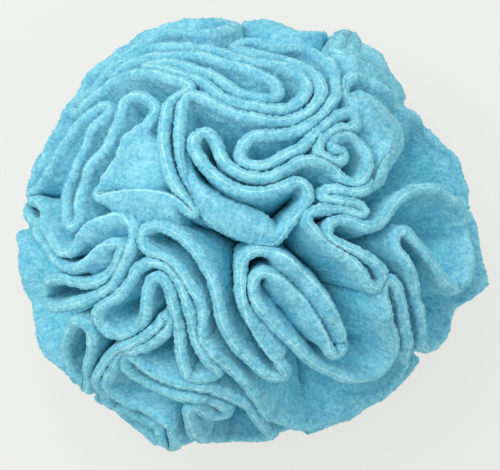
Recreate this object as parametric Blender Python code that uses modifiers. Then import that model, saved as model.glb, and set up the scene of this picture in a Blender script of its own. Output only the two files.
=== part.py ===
"""Snuffle ball: round fleece discs, gathered at their middles by one cable tie, whose rims
ruffle out to a ball. Each disc is a solid of its own: a folded wall that runs in from the
cut rim to the packed folds round the tie. The rims follow the folds in the photograph, and
the unseen half repeats them mirrored and twisted about the upright axis.
"""
import math

import bmesh
import bpy
import numpy as np
from mathutils import Vector
from mathutils.geometry import closest_point_on_tri, tessellate_polygon

# Driving sizes, in metres
BALL_LENGTH = 0.160
BALL_WIDTH = 0.150
CORE_HEIGHT = 0.068
TOP_REACH = 0.072
FLEECE_THICKNESS = 0.0031
THINNEST_WALL = 0.0002
CLEARANCE = 0.0004
FOLD_DEPTH = 0.028
TIE_RING_RADIUS = 0.0085
TIE_STRAP_WIDTH = 0.0036
TIE_STRAP_THICKNESS = 0.0012
TIE_HEAD_LENGTH = 0.0062
TIE_HEAD_WIDTH = 0.0056
TIE_HEAD_HEIGHT = 0.0042
TIE_TAIL_LENGTH = 0.0025
TIE_FILLET = 0.0005

# How the photograph is read: the ball's middle and half sizes in pixels, and the camera's
# distance from the ball's middle as a share of the ball's reach upward
BALL_MIDDLE_PIXELS = (252.0, 238.0)
BALL_HALF_PIXELS = (239.0, 224.0)
CAMERA_DISTANCE_SHARE = 13.0
OVER_LIMB_SHARE = 5.0

# How the unseen half differs from a plain mirror image, in degrees
TWIST = 45.0
TWIST_LATITUDE = 70.0

# Shares and counts that shape the folds
SPLINE_SAMPLES = 8
SPLINE_STEP_SHARE = 0.022
FEWEST_POINTS = 12
LIMB_ROUNDS = 6
RELAX_ROUNDS = 5
RELAX_SHARE = 0.8
RELAX_REACH_SHARE = 0.14
INNER_PULL_SHARE = 0.7
PUSH_SMOOTHING_ROUNDS = 3
COURSE_SMOOTHING_ROUNDS = 4
THIN_TOLERANCE_SHARES = (0.007, 0.05)
TOLERANCE_ROOM_SHARE = 0.51
ROOM_SHARE = 0.88
CORE_ROUNDS = 3
NEAREST_FOLD_SHARE = 0.06
SAME_FOLD_SHARE = 1.8
ROWS_AT_ONCE = 1000
MARKS_AT_ONCE = 400
SAME_POINT = 1e-6
FAR_AWAY = 9.0

FLEECE_COLOUR = (0.20, 0.60, 0.76, 1.0)
FLEECE_ROUGHNESS = 0.95
SHADE_SPREAD = 0.12
SHADE_STRIDE = 7
SHADE_COUNT = 11
TIE_COLOUR = (0.80, 0.80, 0.78, 1.0)
TIE_ROUGHNESS = 0.4
TIE_RING_STEPS = 24
TIE_BEVEL_STEPS = 2
TIE_TAIL_SEAT_SHARE = 0.7

# The ball's outline in the photograph
OUTLINE_PIXELS = [
    (182, 14), (160, 21), (140, 32), (120, 44), (103, 58), (87, 73), (68, 100), (52, 127),
    (33, 158), (23, 192), (14, 235), (14, 262), (20, 288), (29, 303), (29, 318), (32, 337),
    (45, 357), (62, 374), (78, 393), (92, 403), (112, 415), (126, 427), (143, 441), (160, 455),
    (176, 461), (196, 450), (230, 444), (262, 444), (300, 440), (340, 428), (375, 410),
    (400, 390), (417, 366), (440, 352), (453, 330), (461, 308), (480, 296), (491, 286),
    (487, 262), (480, 230), (474, 205), (466, 178), (449, 145), (428, 122), (410, 93),
    (396, 65), (380, 46), (362, 32), (348, 27), (337, 32), (300, 27), (265, 17), (232, 17),
    (206, 15)]

# Rims that close within the photograph's view, as the pixels that each passes through
UPPER_ROSETTE_PIXELS = [
    (197, 208), (192, 196), (186, 182), (181, 168), (178, 150), (177, 130), (177, 112),
    (180, 99), (188, 92), (198, 93), (210, 98), (225, 105), (240, 111), (255, 115), (270, 117),
    (285, 116), (297, 113), (308, 108), (317, 101), (323, 91), (324, 80), (319, 70), (309, 62),
    (297, 57), (285, 53), (270, 50), (255, 47), (243, 45), (235, 42), (236, 37), (243, 34),
    (252, 33), (262, 35), (272, 39), (285, 41), (300, 42), (315, 46), (328, 54), (337, 64),
    (341, 75), (340, 86), (335, 97), (327, 107), (317, 116), (305, 123), (293, 128),
    (280, 130), (265, 131), (252, 133), (244, 139), (240, 147), (240, 155), (246, 162),
    (256, 164), (267, 163), (278, 158), (290, 151), (303, 144), (314, 135), (323, 126),
    (332, 118), (341, 111), (350, 109), (357, 113), (359, 120), (353, 125), (343, 125),
    (334, 129), (326, 135), (321, 142), (320, 150), (326, 156), (336, 159), (345, 156),
    (345, 151), (338, 148), (333, 143), (337, 136), (345, 132), (354, 131), (363, 136),
    (370, 145), (373, 156), (371, 168), (365, 178), (356, 181), (346, 175), (337, 167),
    (328, 161), (318, 158), (307, 157), (297, 160), (288, 166), (278, 171), (268, 175),
    (258, 175), (247, 173), (236, 169), (227, 163), (220, 154), (216, 143), (211, 134),
    (203, 129), (195, 133), (191, 141), (194, 150), (200, 160), (209, 169), (220, 178),
    (232, 185), (243, 189), (255, 191), (267, 190), (278, 187), (288, 183), (297, 180),
    (305, 182), (310, 189), (310, 197), (304, 206), (296, 216), (289, 225), (282, 234),
    (274, 242), (262, 242), (245, 236), (225, 228), (208, 219)]
UPPER_TONGUES_PIXELS = [
    (110, 70), (118, 61), (128, 53), (140, 47), (152, 43), (167, 41), (185, 41), (200, 42),
    (215, 45), (230, 50), (245, 54), (260, 57), (275, 59), (288, 62), (299, 67), (306, 74),
    (309, 82), (306, 91), (298, 98), (286, 103), (270, 104), (255, 102), (240, 98), (226, 93),
    (214, 87), (205, 80), (196, 74), (185, 70), (172, 67), (158, 65), (146, 63), (141, 61),
    (150, 58), (165, 57), (180, 59), (193, 62), (205, 66), (218, 74), (232, 83), (246, 90),
    (258, 94), (270, 94), (278, 90), (279, 82), (272, 74), (260, 68), (246, 63), (232, 59),
    (218, 55), (205, 52), (192, 50), (178, 49), (163, 49), (150, 50), (138, 54), (128, 59),
    (118, 66), (112, 72)]
LOWER_SWEEP_PIXELS = [
    (137, 237), (141, 247), (149, 253), (160, 259), (171, 266), (180, 276), (188, 289),
    (196, 301), (201, 314), (200, 329), (200, 343), (207, 351), (216, 361), (225, 369),
    (235, 377), (244, 386), (252, 397), (258, 407), (265, 419), (273, 427), (286, 431),
    (300, 433), (315, 432), (330, 428), (345, 423), (360, 416), (374, 408), (387, 398),
    (398, 388), (406, 377), (411, 364), (413, 350), (411, 335), (409, 320), (406, 305),
    (402, 290), (396, 282), (390, 284), (388, 293), (389, 305), (392, 319), (397, 331),
    (400, 343), (398, 356), (392, 368), (384, 377), (374, 382), (362, 384), (350, 382),
    (338, 378), (325, 372), (312, 364), (300, 353), (288, 341), (277, 330), (266, 318),
    (257, 307), (252, 296), (252, 286), (256, 277), (264, 273), (273, 277), (283, 285),
    (293, 294), (303, 304), (312, 317), (320, 331), (327, 344), (332, 354), (339, 359),
    (345, 353), (346, 342), (341, 328), (334, 314), (326, 301), (316, 289), (306, 279),
    (295, 268), (284, 259), (272, 253), (261, 250), (250, 253), (243, 261), (241, 273),
    (241, 288), (243, 303), (248, 318), (256, 333), (265, 347), (275, 360), (284, 371),
    (286, 379), (278, 381), (266, 378), (254, 369), (244, 359), (234, 348), (226, 335),
    (220, 321), (217, 307), (214, 292), (208, 276), (199, 260), (188, 246), (177, 235),
    (165, 228), (152, 226), (142, 229)]
LOWER_LEFT_LOOP_PIXELS = [
    (187, 381), (183, 371), (180, 361), (178, 350), (176, 338), (173, 324), (171, 310),
    (168, 297), (165, 286), (159, 279), (151, 279), (146, 286), (144, 297), (144, 309),
    (142, 320), (136, 329), (126, 335), (114, 338), (103, 336), (95, 328), (92, 318),
    (95, 309), (103, 303), (112, 298), (120, 290), (126, 281), (131, 272), (139, 266),
    (150, 263), (161, 265), (170, 272), (177, 283), (182, 296), (186, 310), (190, 325),
    (193, 340), (198, 352), (208, 365), (216, 375), (212, 381), (200, 383)]
LEFT_WAVE_PIXELS = [
    (29, 200), (34, 209), (38, 220), (42, 232), (46, 243), (52, 251), (59, 253), (66, 250),
    (71, 242), (75, 233), (82, 226), (92, 221), (103, 217), (113, 217), (122, 221), (128, 229),
    (129, 239), (125, 250), (120, 260), (115, 270), (110, 280), (103, 289), (94, 296),
    (82, 301), (70, 305), (57, 308), (46, 307), (41, 300), (40, 290), (44, 282), (53, 280),
    (64, 283), (76, 285), (88, 284), (99, 280), (107, 273), (112, 264), (116, 254), (117, 246),
    (110, 244), (101, 246), (93, 252), (85, 260), (76, 267), (66, 270), (57, 268), (50, 262),
    (44, 252), (38, 241), (32, 230), (26, 220), (22, 211), (22, 202)]
LOWER_LEFT_SWEEP_PIXELS = [
    (161, 322), (157, 328), (149, 334), (139, 341), (126, 348), (115, 354), (107, 360),
    (100, 369), (95, 378), (91, 386), (93, 394), (100, 403), (110, 411), (120, 417),
    (131, 422), (143, 428), (153, 433), (158, 440), (162, 449), (168, 454), (173, 449),
    (171, 439), (167, 430), (159, 423), (147, 418), (134, 412), (122, 406), (111, 398),
    (103, 389), (103, 380), (108, 372), (112, 366), (113, 361), (119, 356), (130, 353),
    (142, 349), (153, 343), (161, 335), (166, 327), (165, 321)]
RIGHT_WAVE_PIXELS = [
    (426, 345), (428, 330), (425, 313), (421, 297), (419, 283), (415, 271), (409, 262),
    (403, 253), (400, 243), (402, 233), (409, 231), (418, 241), (428, 253), (438, 266),
    (448, 278), (456, 288), (464, 292), (470, 284), (475, 268), (476, 250), (475, 235),
    (471, 220), (465, 206), (456, 196), (445, 189), (430, 186), (416, 189), (404, 197),
    (396, 207), (389, 217), (381, 223), (370, 226), (358, 222), (348, 218), (338, 219),
    (331, 226), (331, 236), (338, 243), (349, 248), (361, 253), (372, 259), (381, 266),
    (387, 275), (387, 284), (380, 290), (372, 284), (366, 274), (356, 262), (345, 253),
    (334, 246), (323, 237), (314, 228), (308, 220), (309, 213), (318, 209), (330, 208),
    (342, 208), (353, 210), (362, 214), (368, 211), (366, 205), (355, 201), (340, 199),
    (328, 195), (330, 188), (342, 187), (356, 190), (369, 186), (379, 175), (382, 161),
    (382, 151), (388, 146), (394, 141), (395, 133), (390, 125), (382, 116), (372, 106),
    (362, 97), (352, 88), (348, 80), (351, 74), (358, 71), (366, 73), (374, 77), (383, 83),
    (394, 90), (404, 98), (413, 107), (428, 122), (449, 145), (466, 178), (474, 205),
    (480, 230), (487, 262), (490, 283), (479, 296), (461, 308), (453, 330), (440, 350),
    (430, 353)]
UPPER_LEFT_FAN_PIXELS = [
    (234, 20), (222, 25), (210, 28), (198, 29), (185, 27), (172, 26), (160, 29),
    (150, 34), (140, 40), (130, 46), (120, 53), (110, 62), (102, 71), (93, 80), (84, 89),
    (75, 98), (68, 106), (71, 109), (81, 100), (95, 87), (104, 80), (112, 76), (122, 71),
    (135, 68), (150, 70), (165, 73), (180, 77), (188, 82), (187, 87), (180, 91), (172, 95),
    (166, 101), (163, 110), (161, 120), (161, 135), (162, 150), (165, 165), (171, 180),
    (180, 193), (189, 204), (191, 211), (185, 207), (177, 201), (166, 197), (154, 194),
    (140, 192), (126, 192), (112, 194), (100, 196), (94, 193), (96, 186), (101, 178),
    (107, 167), (114, 155), (120, 144), (127, 133), (135, 124), (143, 117), (150, 111),
    (152, 103), (147, 96), (138, 92), (128, 93), (122, 98), (118, 108), (115, 117),
    (109, 128), (103, 138), (97, 148), (91, 158), (85, 168), (79, 179), (75, 190), (73, 202),
    (73, 214), (70, 224), (65, 226), (61, 217), (61, 205), (62, 192), (65, 179), (69, 167),
    (74, 154), (80, 141), (87, 129), (94, 118), (101, 108), (103, 101), (95, 102), (86, 110),
    (77, 119), (68, 129), (60, 140), (52, 151), (44, 163), (36, 177), (28, 190), (23, 191),
    (26, 176), (33, 158), (52, 127), (68, 100), (87, 73), (103, 58), (120, 44), (140, 32),
    (160, 21), (182, 14), (206, 15), (228, 16)]
LOWER_RUFFLE_PIXELS = [
    (272, 441), (261, 430), (253, 419), (246, 410), (240, 407), (230, 403), (218, 398),
    (205, 393), (190, 390), (175, 388), (163, 384), (151, 378), (141, 371), (132, 364),
    (124, 359), (119, 363), (121, 372), (130, 381), (141, 388), (154, 393), (169, 398),
    (184, 401), (198, 404), (210, 408), (221, 412), (227, 417), (222, 422), (212, 422),
    (205, 418), (198, 413), (191, 412), (186, 417), (188, 427), (194, 438), (202, 446),
    (214, 446), (230, 444), (255, 444), (270, 443)]
LEFT_POCKET_PIXELS = [
    (80, 393), (76, 384), (70, 373), (64, 361), (60, 347), (62, 333), (70, 324), (78, 324),
    (84, 331), (87, 343), (86, 355), (84, 366), (83, 376), (84, 386), (84, 393)]
UPPER_RIGHT_FLAP_PIXELS = [
    (347, 28), (341, 35), (340, 43), (346, 48), (355, 52), (366, 57), (378, 62), (389, 68),
    (396, 73), (401, 72), (396, 65), (380, 46), (362, 32), (354, 27)]

# Belts of long tongues on the ball's sides, of which the photograph shows only the outline:
# the middle and half width of each in degrees round the upright axis, its count of tongues,
# and the highest latitude that it reaches
SIDE_BELTS = {
    "far_side": (81.5, 9.0, 2, 5.0),
    "near_side": (-57.0, 17.0, 2, 2.0),
    "left_side": (200.0, 20.0, 2, 4.0),
    "near_left_side": (237.0, 8.0, 1, 4.0),
}
TONGUE_HEIGHT_SHARE = 0.58
TONGUE_POINT_PITCH = 4.0
BELT_MARGIN = 4.5
BELT_WINDOW = 3.0
BELT_SPINE = 4.0
BELT_WAVE = 1.6
BELT_WAVE_PITCH = 5.0
BELT_WAVE_SHIFT = 0.8
SPINE_RISE_SHARES = (0.95, 0.65, 0.35, 0.05)

RIM_PIXELS = {
    "upper_rosette": UPPER_ROSETTE_PIXELS,
    "upper_tongues": UPPER_TONGUES_PIXELS,
    "upper_left_fan": UPPER_LEFT_FAN_PIXELS,
    "upper_right_flap": UPPER_RIGHT_FLAP_PIXELS,
    "left_wave": LEFT_WAVE_PIXELS,
    "left_pocket": LEFT_POCKET_PIXELS,
    "right_wave": RIGHT_WAVE_PIXELS,
    "lower_sweep": LOWER_SWEEP_PIXELS,
    "lower_left_loop": LOWER_LEFT_LOOP_PIXELS,
    "lower_left_sweep": LOWER_LEFT_SWEEP_PIXELS,
    "lower_ruffle": LOWER_RUFFLE_PIXELS,
}


def unit(vectors):
    """Rows scaled to length one."""
    return vectors / np.linalg.norm(vectors, axis=-1, keepdims=True)


def around(azimuth, latitude):
    """Unit directions from degrees round the upright axis and degrees of latitude."""
    turn = np.radians(azimuth)
    rise = np.radians(latitude)
    return np.stack([np.cos(turn) * np.cos(rise), np.sin(turn) * np.cos(rise), np.sin(rise)], -1)


def outline_share(azimuth):
    """How far the ball's outline lies out at an angle, as a share of the plain ellipse."""
    outline = np.array(OUTLINE_PIXELS, float) - BALL_MIDDLE_PIXELS
    outline[:, 1] = -outline[:, 1]
    outline = outline / BALL_HALF_PIXELS
    angles = np.arctan2(outline[:, 1], outline[:, 0])
    order = np.argsort(angles)
    return np.interp(azimuth, angles[order], np.hypot(*outline.T)[order], period=2 * math.pi)


def envelope(directions):
    """How far the rims reach along unit directions, as a share of the plain ellipsoid."""
    bulge = outline_share(np.arctan2(directions[:, 1], directions[:, 0])) - 1
    level = np.hypot(directions[:, 0], directions[:, 1]) ** 3
    reach = 1 + bulge * level
    fall = np.maximum(-directions[:, 2], SAME_POINT)
    return np.minimum(reach, CORE_HEIGHT / TOP_REACH / fall)


def from_pixels(pixels):
    """Unit directions of the ball's points that pixels of the photograph show."""
    flat = np.array(pixels, float) - BALL_MIDDLE_PIXELS
    flat[:, 1] = -flat[:, 1]
    flat = flat / BALL_HALF_PIXELS
    azimuth = np.arctan2(flat[:, 1], flat[:, 0])
    spread = np.hypot(*flat.T)
    bulge = outline_share(azimuth) - 1
    limb = CAMERA_DISTANCE_SHARE / math.sqrt(CAMERA_DISTANCE_SHARE ** 2 - 1)
    limb_rise = math.asin(1 / CAMERA_DISTANCE_SHARE)
    level = spread
    for _ in range(LIMB_ROUNDS):
        share = spread / (1 + bulge * np.minimum(level, 1) ** 3)
        inside = np.minimum(share, 1) * limb
        squares = inside ** 2 + CAMERA_DISTANCE_SHARE ** 2
        root = np.sqrt(np.maximum(
            CAMERA_DISTANCE_SHARE ** 4 - squares * (CAMERA_DISTANCE_SHARE ** 2 - 1), 0))
        along = (CAMERA_DISTANCE_SHARE ** 2 - root) / squares
        rise = np.arcsin(np.clip(CAMERA_DISTANCE_SHARE * (1 - along), -1, 1))
        rise = np.where(share > 1, limb_rise - (share - 1) * OVER_LIMB_SHARE, rise)
        level = np.cos(rise)
    return around(np.degrees(azimuth), np.degrees(rise))


def twisted_mirror(directions):
    """Directions mirrored to the unseen half and twisted about the upright axis."""
    azimuth = np.degrees(np.arctan2(directions[:, 1], directions[:, 0]))
    latitude = np.degrees(np.arcsin(np.clip(directions[:, 2], -1, 1)))
    share = np.clip(latitude / TWIST_LATITUDE, 0, 1)
    turn = TWIST * share ** 2 * (3 - 2 * share)
    return around(azimuth + turn, -latitude)


def smooth_loop(directions):
    """Evenly spaced points on the smooth closed curve through unit directions."""
    before = np.roll(directions, 1, axis=0)
    after = np.roll(directions, -1, axis=0)
    beyond = np.roll(directions, -2, axis=0)
    share = np.arange(SPLINE_SAMPLES)[:, None, None] / SPLINE_SAMPLES
    curve = 0.5 * (2 * directions + (after - before) * share
                   + (2 * before - 5 * directions + 4 * after - beyond) * share ** 2
                   + (3 * directions - before - 3 * after + beyond) * share ** 3)
    curve = unit(curve.transpose(1, 0, 2).reshape(-1, 3))
    return evenly_spaced(curve, SPLINE_STEP_SHARE)


def evenly_spaced(loop, step):
    """A closed polyline's points, spaced alike along it."""
    closed = np.vstack([loop, loop[:1]])
    length = np.concatenate([[0], np.cumsum(np.linalg.norm(np.diff(closed, axis=0), axis=1))])
    count = max(FEWEST_POINTS, round(length[-1] / step))
    marks = np.arange(count) * length[-1] / count
    return unit(np.stack([np.interp(marks, length, closed[:, i]) for i in range(3)], -1))


def chart(directions, middle):
    """Places on a flat chart of the ball that is centred on one direction."""
    side = unit(np.cross([0.0, 0.0, 1.0], middle))
    up = np.cross(middle, side)
    depth = 1 + directions @ middle
    return np.stack([directions @ side, directions @ up], -1) / depth[:, None]


def anticlockwise(loop):
    """The loop, turned so that its inner side lies to the left."""
    flat = chart(loop, loop_middle(loop))
    after = np.roll(flat, -1, axis=0)
    area = np.sum(flat[:, 0] * after[:, 1] - flat[:, 1] * after[:, 0])
    return loop if area > 0 else loop[::-1]


def loop_middle(loop):
    """The direction in the middle of a loop."""
    middle = loop.mean(axis=0)
    return middle / np.linalg.norm(middle)


def belt_loop(middle, half_width, tongues, highest, neighbours):
    """The closed control points of long tongues that fill a belt of the ball's side."""
    azimuth = np.degrees(np.arctan2(neighbours[:, 1], neighbours[:, 0]))
    latitude = np.degrees(np.arcsin(np.clip(neighbours[:, 2], -1, 1)))

    def limit(place, sign):
        away = np.abs((azimuth - place + 180) % 360 - 180)
        near = (away < BELT_WINDOW) & (latitude * sign > 0)
        return sign * np.min(latitude[near] * sign) - sign * BELT_MARGIN

    def level(place, share):
        low = limit(place, -1)
        return low + (min(limit(place, 1), highest) - low) * share

    start = middle - half_width
    end = middle + half_width
    points = [(start, level(start, share)) for share in SPINE_RISE_SHARES]
    count = max(3, round((end - start - BELT_SPINE) / TONGUE_POINT_PITCH))
    places = np.linspace(start + BELT_SPINE, end, count)
    pitch = 1 / (tongues - 1 + TONGUE_HEIGHT_SHARE)
    for tongue in range(tongues):
        low = tongue * pitch
        for share, run in ((low, places), (low + TONGUE_HEIGHT_SHARE * pitch, places[::-1])):
            for place in run:
                turn = (place - start) / BELT_WAVE_PITCH + tongue * BELT_WAVE_SHIFT
                points.append((place, level(place, share) + BELT_WAVE * math.sin(turn)))
    places = np.array(points)
    return around(places[:, 0], places[:, 1])


def sides(loop):
    """Unit vectors along the ball's surface, square to the loop, to its inner side."""
    along = unit(np.roll(loop, -1, axis=0) - np.roll(loop, 1, axis=0))
    return unit(np.cross(loop, along))


def room(loops):
    """For each point of each loop, the radius of free space on its inner and outer side."""
    points = np.vstack(loops)
    across = np.vstack([sides(loop) for loop in loops])
    inner = np.empty(len(points))
    outer = np.empty(len(points))
    for first in range(0, len(points), ROWS_AT_ONCE):
        rows = slice(first, first + ROWS_AT_ONCE)
        lean = across[rows] @ points.T
        bend = lean / np.maximum(1 - points[rows] @ points.T, SAME_POINT)
        inner[rows] = 1 / np.maximum(bend.max(axis=1), SAME_POINT)
        outer[rows] = 1 / np.maximum(-bend.min(axis=1), SAME_POINT)
    cuts = np.cumsum([len(loop) for loop in loops])[:-1]
    return np.split(inner, cuts), np.split(outer, cuts)


def smoothed(values, rounds):
    """Values along a loop, each averaged with its neighbours."""
    for _ in range(rounds):
        values = (np.roll(values, 1, axis=0) + 2 * values + np.roll(values, -1, axis=0)) / 4
    return values


def relaxed(rims):
    """The loops as they run deep in the ball, where the folds share the room evenly."""
    loops = rims
    for _ in range(RELAX_ROUNDS):
        inner, outer = room(loops)
        moved = []
        for rim, loop, left, right in zip(rims, loops, inner, outer):
            left = np.minimum(left, RELAX_REACH_SHARE)
            right = np.minimum(right, RELAX_REACH_SHARE)
            push = smoothed((left * INNER_PULL_SHARE - right) * RELAX_SHARE / 2,
                            PUSH_SMOOTHING_ROUNDS)
            course = loop + sides(loop) * push[:, None]
            moved.append(unit(rim + smoothed(course - rim, COURSE_SMOOTHING_ROUNDS)))
        loops = moved
    return loops


def off_line(points, start, end):
    """How far points lie from the straight run between two places."""
    run = end - start
    share = np.clip((points - start) @ run / (run @ run), 0, 1)
    return np.linalg.norm(points - start - share[:, None] * run, axis=1)


def corner_choice(courses, tolerances):
    """Which points of a closed loop keep the shape of each of its courses to a tolerance."""
    count = len(courses[0])
    chosen = {0, count // 2}
    stack = [(0, count // 2), (count // 2, count)]
    while stack:
        start, end = stack.pop()
        if end - start < 2:
            continue
        inner = slice(start + 1, end)
        excess = np.max([off_line(course[inner], course[start], course[end % count])
                         / tolerance[inner] for course, tolerance in zip(courses, tolerances)],
                        axis=0)
        worst = int(np.argmax(excess))
        if excess[worst] > 1:
            split = start + 1 + worst
            chosen.add(split)
            stack.append((start, split))
            stack.append((split, end))
    return sorted(chosen)


def nearest_folds(loops, choices):
    """The distance from each chosen corner's two straight runs to the nearest other fold."""
    marks = []
    owners = []
    places = []
    runs = []
    for number, (loop, chosen) in enumerate(zip(loops, choices)):
        corners = loop[chosen]
        after = np.roll(corners, -1, axis=0)
        steps = np.linalg.norm(after - corners, axis=1)
        place = np.concatenate([[0], np.cumsum(steps)])
        for corner in range(len(corners)):
            count = max(2, math.ceil(steps[corner] / SPLINE_STEP_SHARE))
            share = np.arange(count)[:, None] / count
            marks.append(corners[corner] + (after[corner] - corners[corner]) * share)
            places.append(place[corner] + steps[corner] * share[:, 0])
            owners += [number] * count
            runs += [corner] * count
    marks = np.vstack(marks)
    places = np.concatenate(places)
    owners = np.array(owners)
    runs = np.array(runs)
    lengths = np.array([np.max(places[owners == n]) for n in range(len(loops))])
    nearest = np.empty(len(marks))
    for first in range(0, len(marks), MARKS_AT_ONCE):
        rows = slice(first, first + MARKS_AT_ONCE)
        away = np.linalg.norm(marks[None] - marks[rows, None], axis=2)
        along = np.abs(places[None] - places[rows, None])
        along = np.minimum(along, lengths[owners[rows]][:, None] - along)
        same = owners[None] == owners[rows, None]
        bound = same & (along < np.maximum(NEAREST_FOLD_SHARE, SAME_FOLD_SHARE * away))
        nearest[rows] = np.min(np.where(bound, FAR_AWAY, away), axis=1)
    result = []
    for number, chosen in enumerate(choices):
        mine = nearest[owners == number]
        mine_runs = runs[owners == number]
        by_run = np.array([mine[mine_runs == corner].min() for corner in range(len(chosen))])
        result.append(np.minimum(by_run, np.roll(by_run, 1)))
    return result


def space_beside(loops, choices):
    """For each loop, the room on its inner and outer side and to the nearest fold."""
    inner, outer = room(loops)
    nearest = nearest_folds(loops, choices)
    return [(left[chosen], right[chosen], away)
            for left, right, away, chosen in zip(inner, outer, nearest, choices)]


def half_walls(beside, depth_share):
    """For each loop, how far its wall may reach to its inner and outer side at its corners."""
    mean_reach = (BALL_LENGTH / 2 + BALL_WIDTH / 2 + TOP_REACH) / 3
    half = FLEECE_THICKNESS / 2 / mean_reach
    least = THINNEST_WALL / 2 / mean_reach
    gap = CLEARANCE / 2 / TOP_REACH
    walls = []
    for left, right, away in beside:
        straight = away / 2 * depth_share - gap
        pair = []
        for side in (left, right):
            bend = side * ROOM_SHARE * depth_share - gap
            pair.append(np.maximum(least, np.minimum(half, np.minimum(bend, straight))))
        walls.append(pair)
    return walls


def placed(directions, depth_share):
    """Points of the ball at a share of the reach along unit directions."""
    reach = (BALL_LENGTH / 2, BALL_WIDTH / 2, TOP_REACH)
    points = directions * envelope(directions)[:, None] * depth_share * reach
    return points + (0.0, 0.0, CORE_HEIGHT)


def cap(directions):
    """Triangles that fill a loop, anticlockwise as seen from outside."""
    flat = chart(directions, loop_middle(directions))
    corners = [Vector((x, y, 0.0)) for x, y in flat]
    triangles = []
    for a, b, c in tessellate_polygon([corners]):
        turn = (corners[b] - corners[a]).cross(corners[c] - corners[a]).z
        triangles.append((a, b, c) if turn > 0 else (a, c, b))
    return triangles


def beside_loop(loop, chosen, reach, depth_share):
    """Directions beside a loop's chosen corners, seen from a share of the ball's depth."""
    return unit(loop[chosen] * depth_share + sides(loop)[chosen] * reach[:, None])


def ring(loop, chosen, reach, depth_share):
    """A ring of points beside a loop's chosen corners, at a share of the ball's depth."""
    return placed(beside_loop(loop, chosen, reach, depth_share), depth_share)


def fleece_disc(name, rim, deep, chosen, walls, core_share, colour_share):
    """One gathered disc: its folded wall, and its packed folds down to the tie."""
    hub_share = 1 - FOLD_DEPTH / TOP_REACH
    rim_walls, hub_walls, core_walls = walls
    hub_in = ring(deep, chosen, hub_walls[0], hub_share)
    core = ring(deep, chosen, -core_walls[1], core_share)
    rings = [
        ring(rim, chosen, -rim_walls[1], 1.0),
        ring(rim, chosen, rim_walls[0], 1.0),
        ring(deep, chosen, -hub_walls[1], hub_share),
        hub_in,
        core,
    ]
    mesh = bmesh.new()
    rows = [[mesh.verts.new(point) for point in points] for points in rings]
    count = len(chosen)
    for here in range(count):
        after = (here + 1) % count
        mesh.faces.new((rows[0][here], rows[0][after], rows[1][after], rows[1][here]))
        mesh.faces.new((rows[0][after], rows[0][here], rows[2][here], rows[2][after]))
        mesh.faces.new((rows[1][here], rows[1][after], rows[3][after], rows[3][here]))
        mesh.faces.new((rows[2][after], rows[2][here], rows[4][here], rows[4][after]))
    for a, b, c in cap(directions_of(hub_in)):
        mesh.faces.new((rows[3][a], rows[3][b], rows[3][c]))
    for a, b, c in cap(directions_of(core)):
        mesh.faces.new((rows[4][a], rows[4][c], rows[4][b]))
    return mesh_object(name, mesh, fleece_material(name, colour_share))


def directions_of(points):
    """Unit directions from the ball's middle to points, with the ball drawn out to a sphere."""
    reach = (BALL_LENGTH / 2, BALL_WIDTH / 2, TOP_REACH)
    return unit((points - (0.0, 0.0, CORE_HEIGHT)) / reach)


def tie_share():
    """How far the tie reaches from the ball's middle, with the ball drawn in to a unit sphere."""
    strap_out = TIE_RING_RADIUS + TIE_STRAP_THICKNESS / 2
    head_out = TIE_RING_RADIUS - TIE_STRAP_THICKNESS / 2 + TIE_HEAD_HEIGHT
    tail_out = strap_out + TIE_STRAP_THICKNESS * (TIE_TAIL_SEAT_SHARE + 0.5)
    corners = np.array([
        (head_out, TIE_HEAD_LENGTH / 2, TIE_HEAD_WIDTH / 2),
        (tail_out, TIE_HEAD_LENGTH / 2 + TIE_TAIL_LENGTH, TIE_STRAP_WIDTH / 2),
        (strap_out, 0.0, TIE_STRAP_WIDTH / 2),
        (0.0, strap_out, TIE_STRAP_WIDTH / 2),
    ])
    reach = (BALL_LENGTH / 2, BALL_WIDTH / 2, TOP_REACH)
    return np.linalg.norm(corners / reach, axis=1).max()


def cap_dip(rings):
    """How near flat caps over rings of directions come to the middle of a ball of reach one."""
    nearest = 1.0
    for directions in rings:
        corners = [Vector(point) for point in directions * envelope(directions)[:, None]]
        for a, b, c in cap(directions):
            point = closest_point_on_tri(Vector(), corners[a], corners[b], corners[c])
            nearest = min(nearest, point.length)
    return nearest


def mesh_object(name, mesh, material):
    """A named object made from a bmesh."""
    data = bpy.data.meshes.new(name)
    mesh.to_mesh(data)
    mesh.free()
    data.materials.append(material)
    made = bpy.data.objects.new(name, data)
    part_collection().objects.link(made)
    return made


def part_collection():
    """The collection that holds the ball's pieces."""
    found = bpy.data.collections.get("snuffle_ball")
    if found is None:
        found = bpy.data.collections.new("snuffle_ball")
        bpy.context.scene.collection.children.link(found)
    return found


def plain_material(name, colour, roughness):
    """A Principled material of one colour."""
    material = bpy.data.materials.new(name)
    material.use_nodes = True
    shader = material.node_tree.nodes["Principled BSDF"]
    shader.inputs["Base Color"].default_value = colour
    shader.inputs["Roughness"].default_value = roughness
    shader.inputs["Metallic"].default_value = 0.0
    material.diffuse_color = colour
    return material


def fleece_material(name, colour_share):
    """Sky blue fleece, a touch lighter or darker from disc to disc."""
    shade = 1 + SHADE_SPREAD * (colour_share - 0.5)
    colour = tuple(min(1.0, part * shade) for part in FLEECE_COLOUR[:3]) + (1.0,)
    return plain_material(name + "_fleece", colour, FLEECE_ROUGHNESS)


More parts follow.
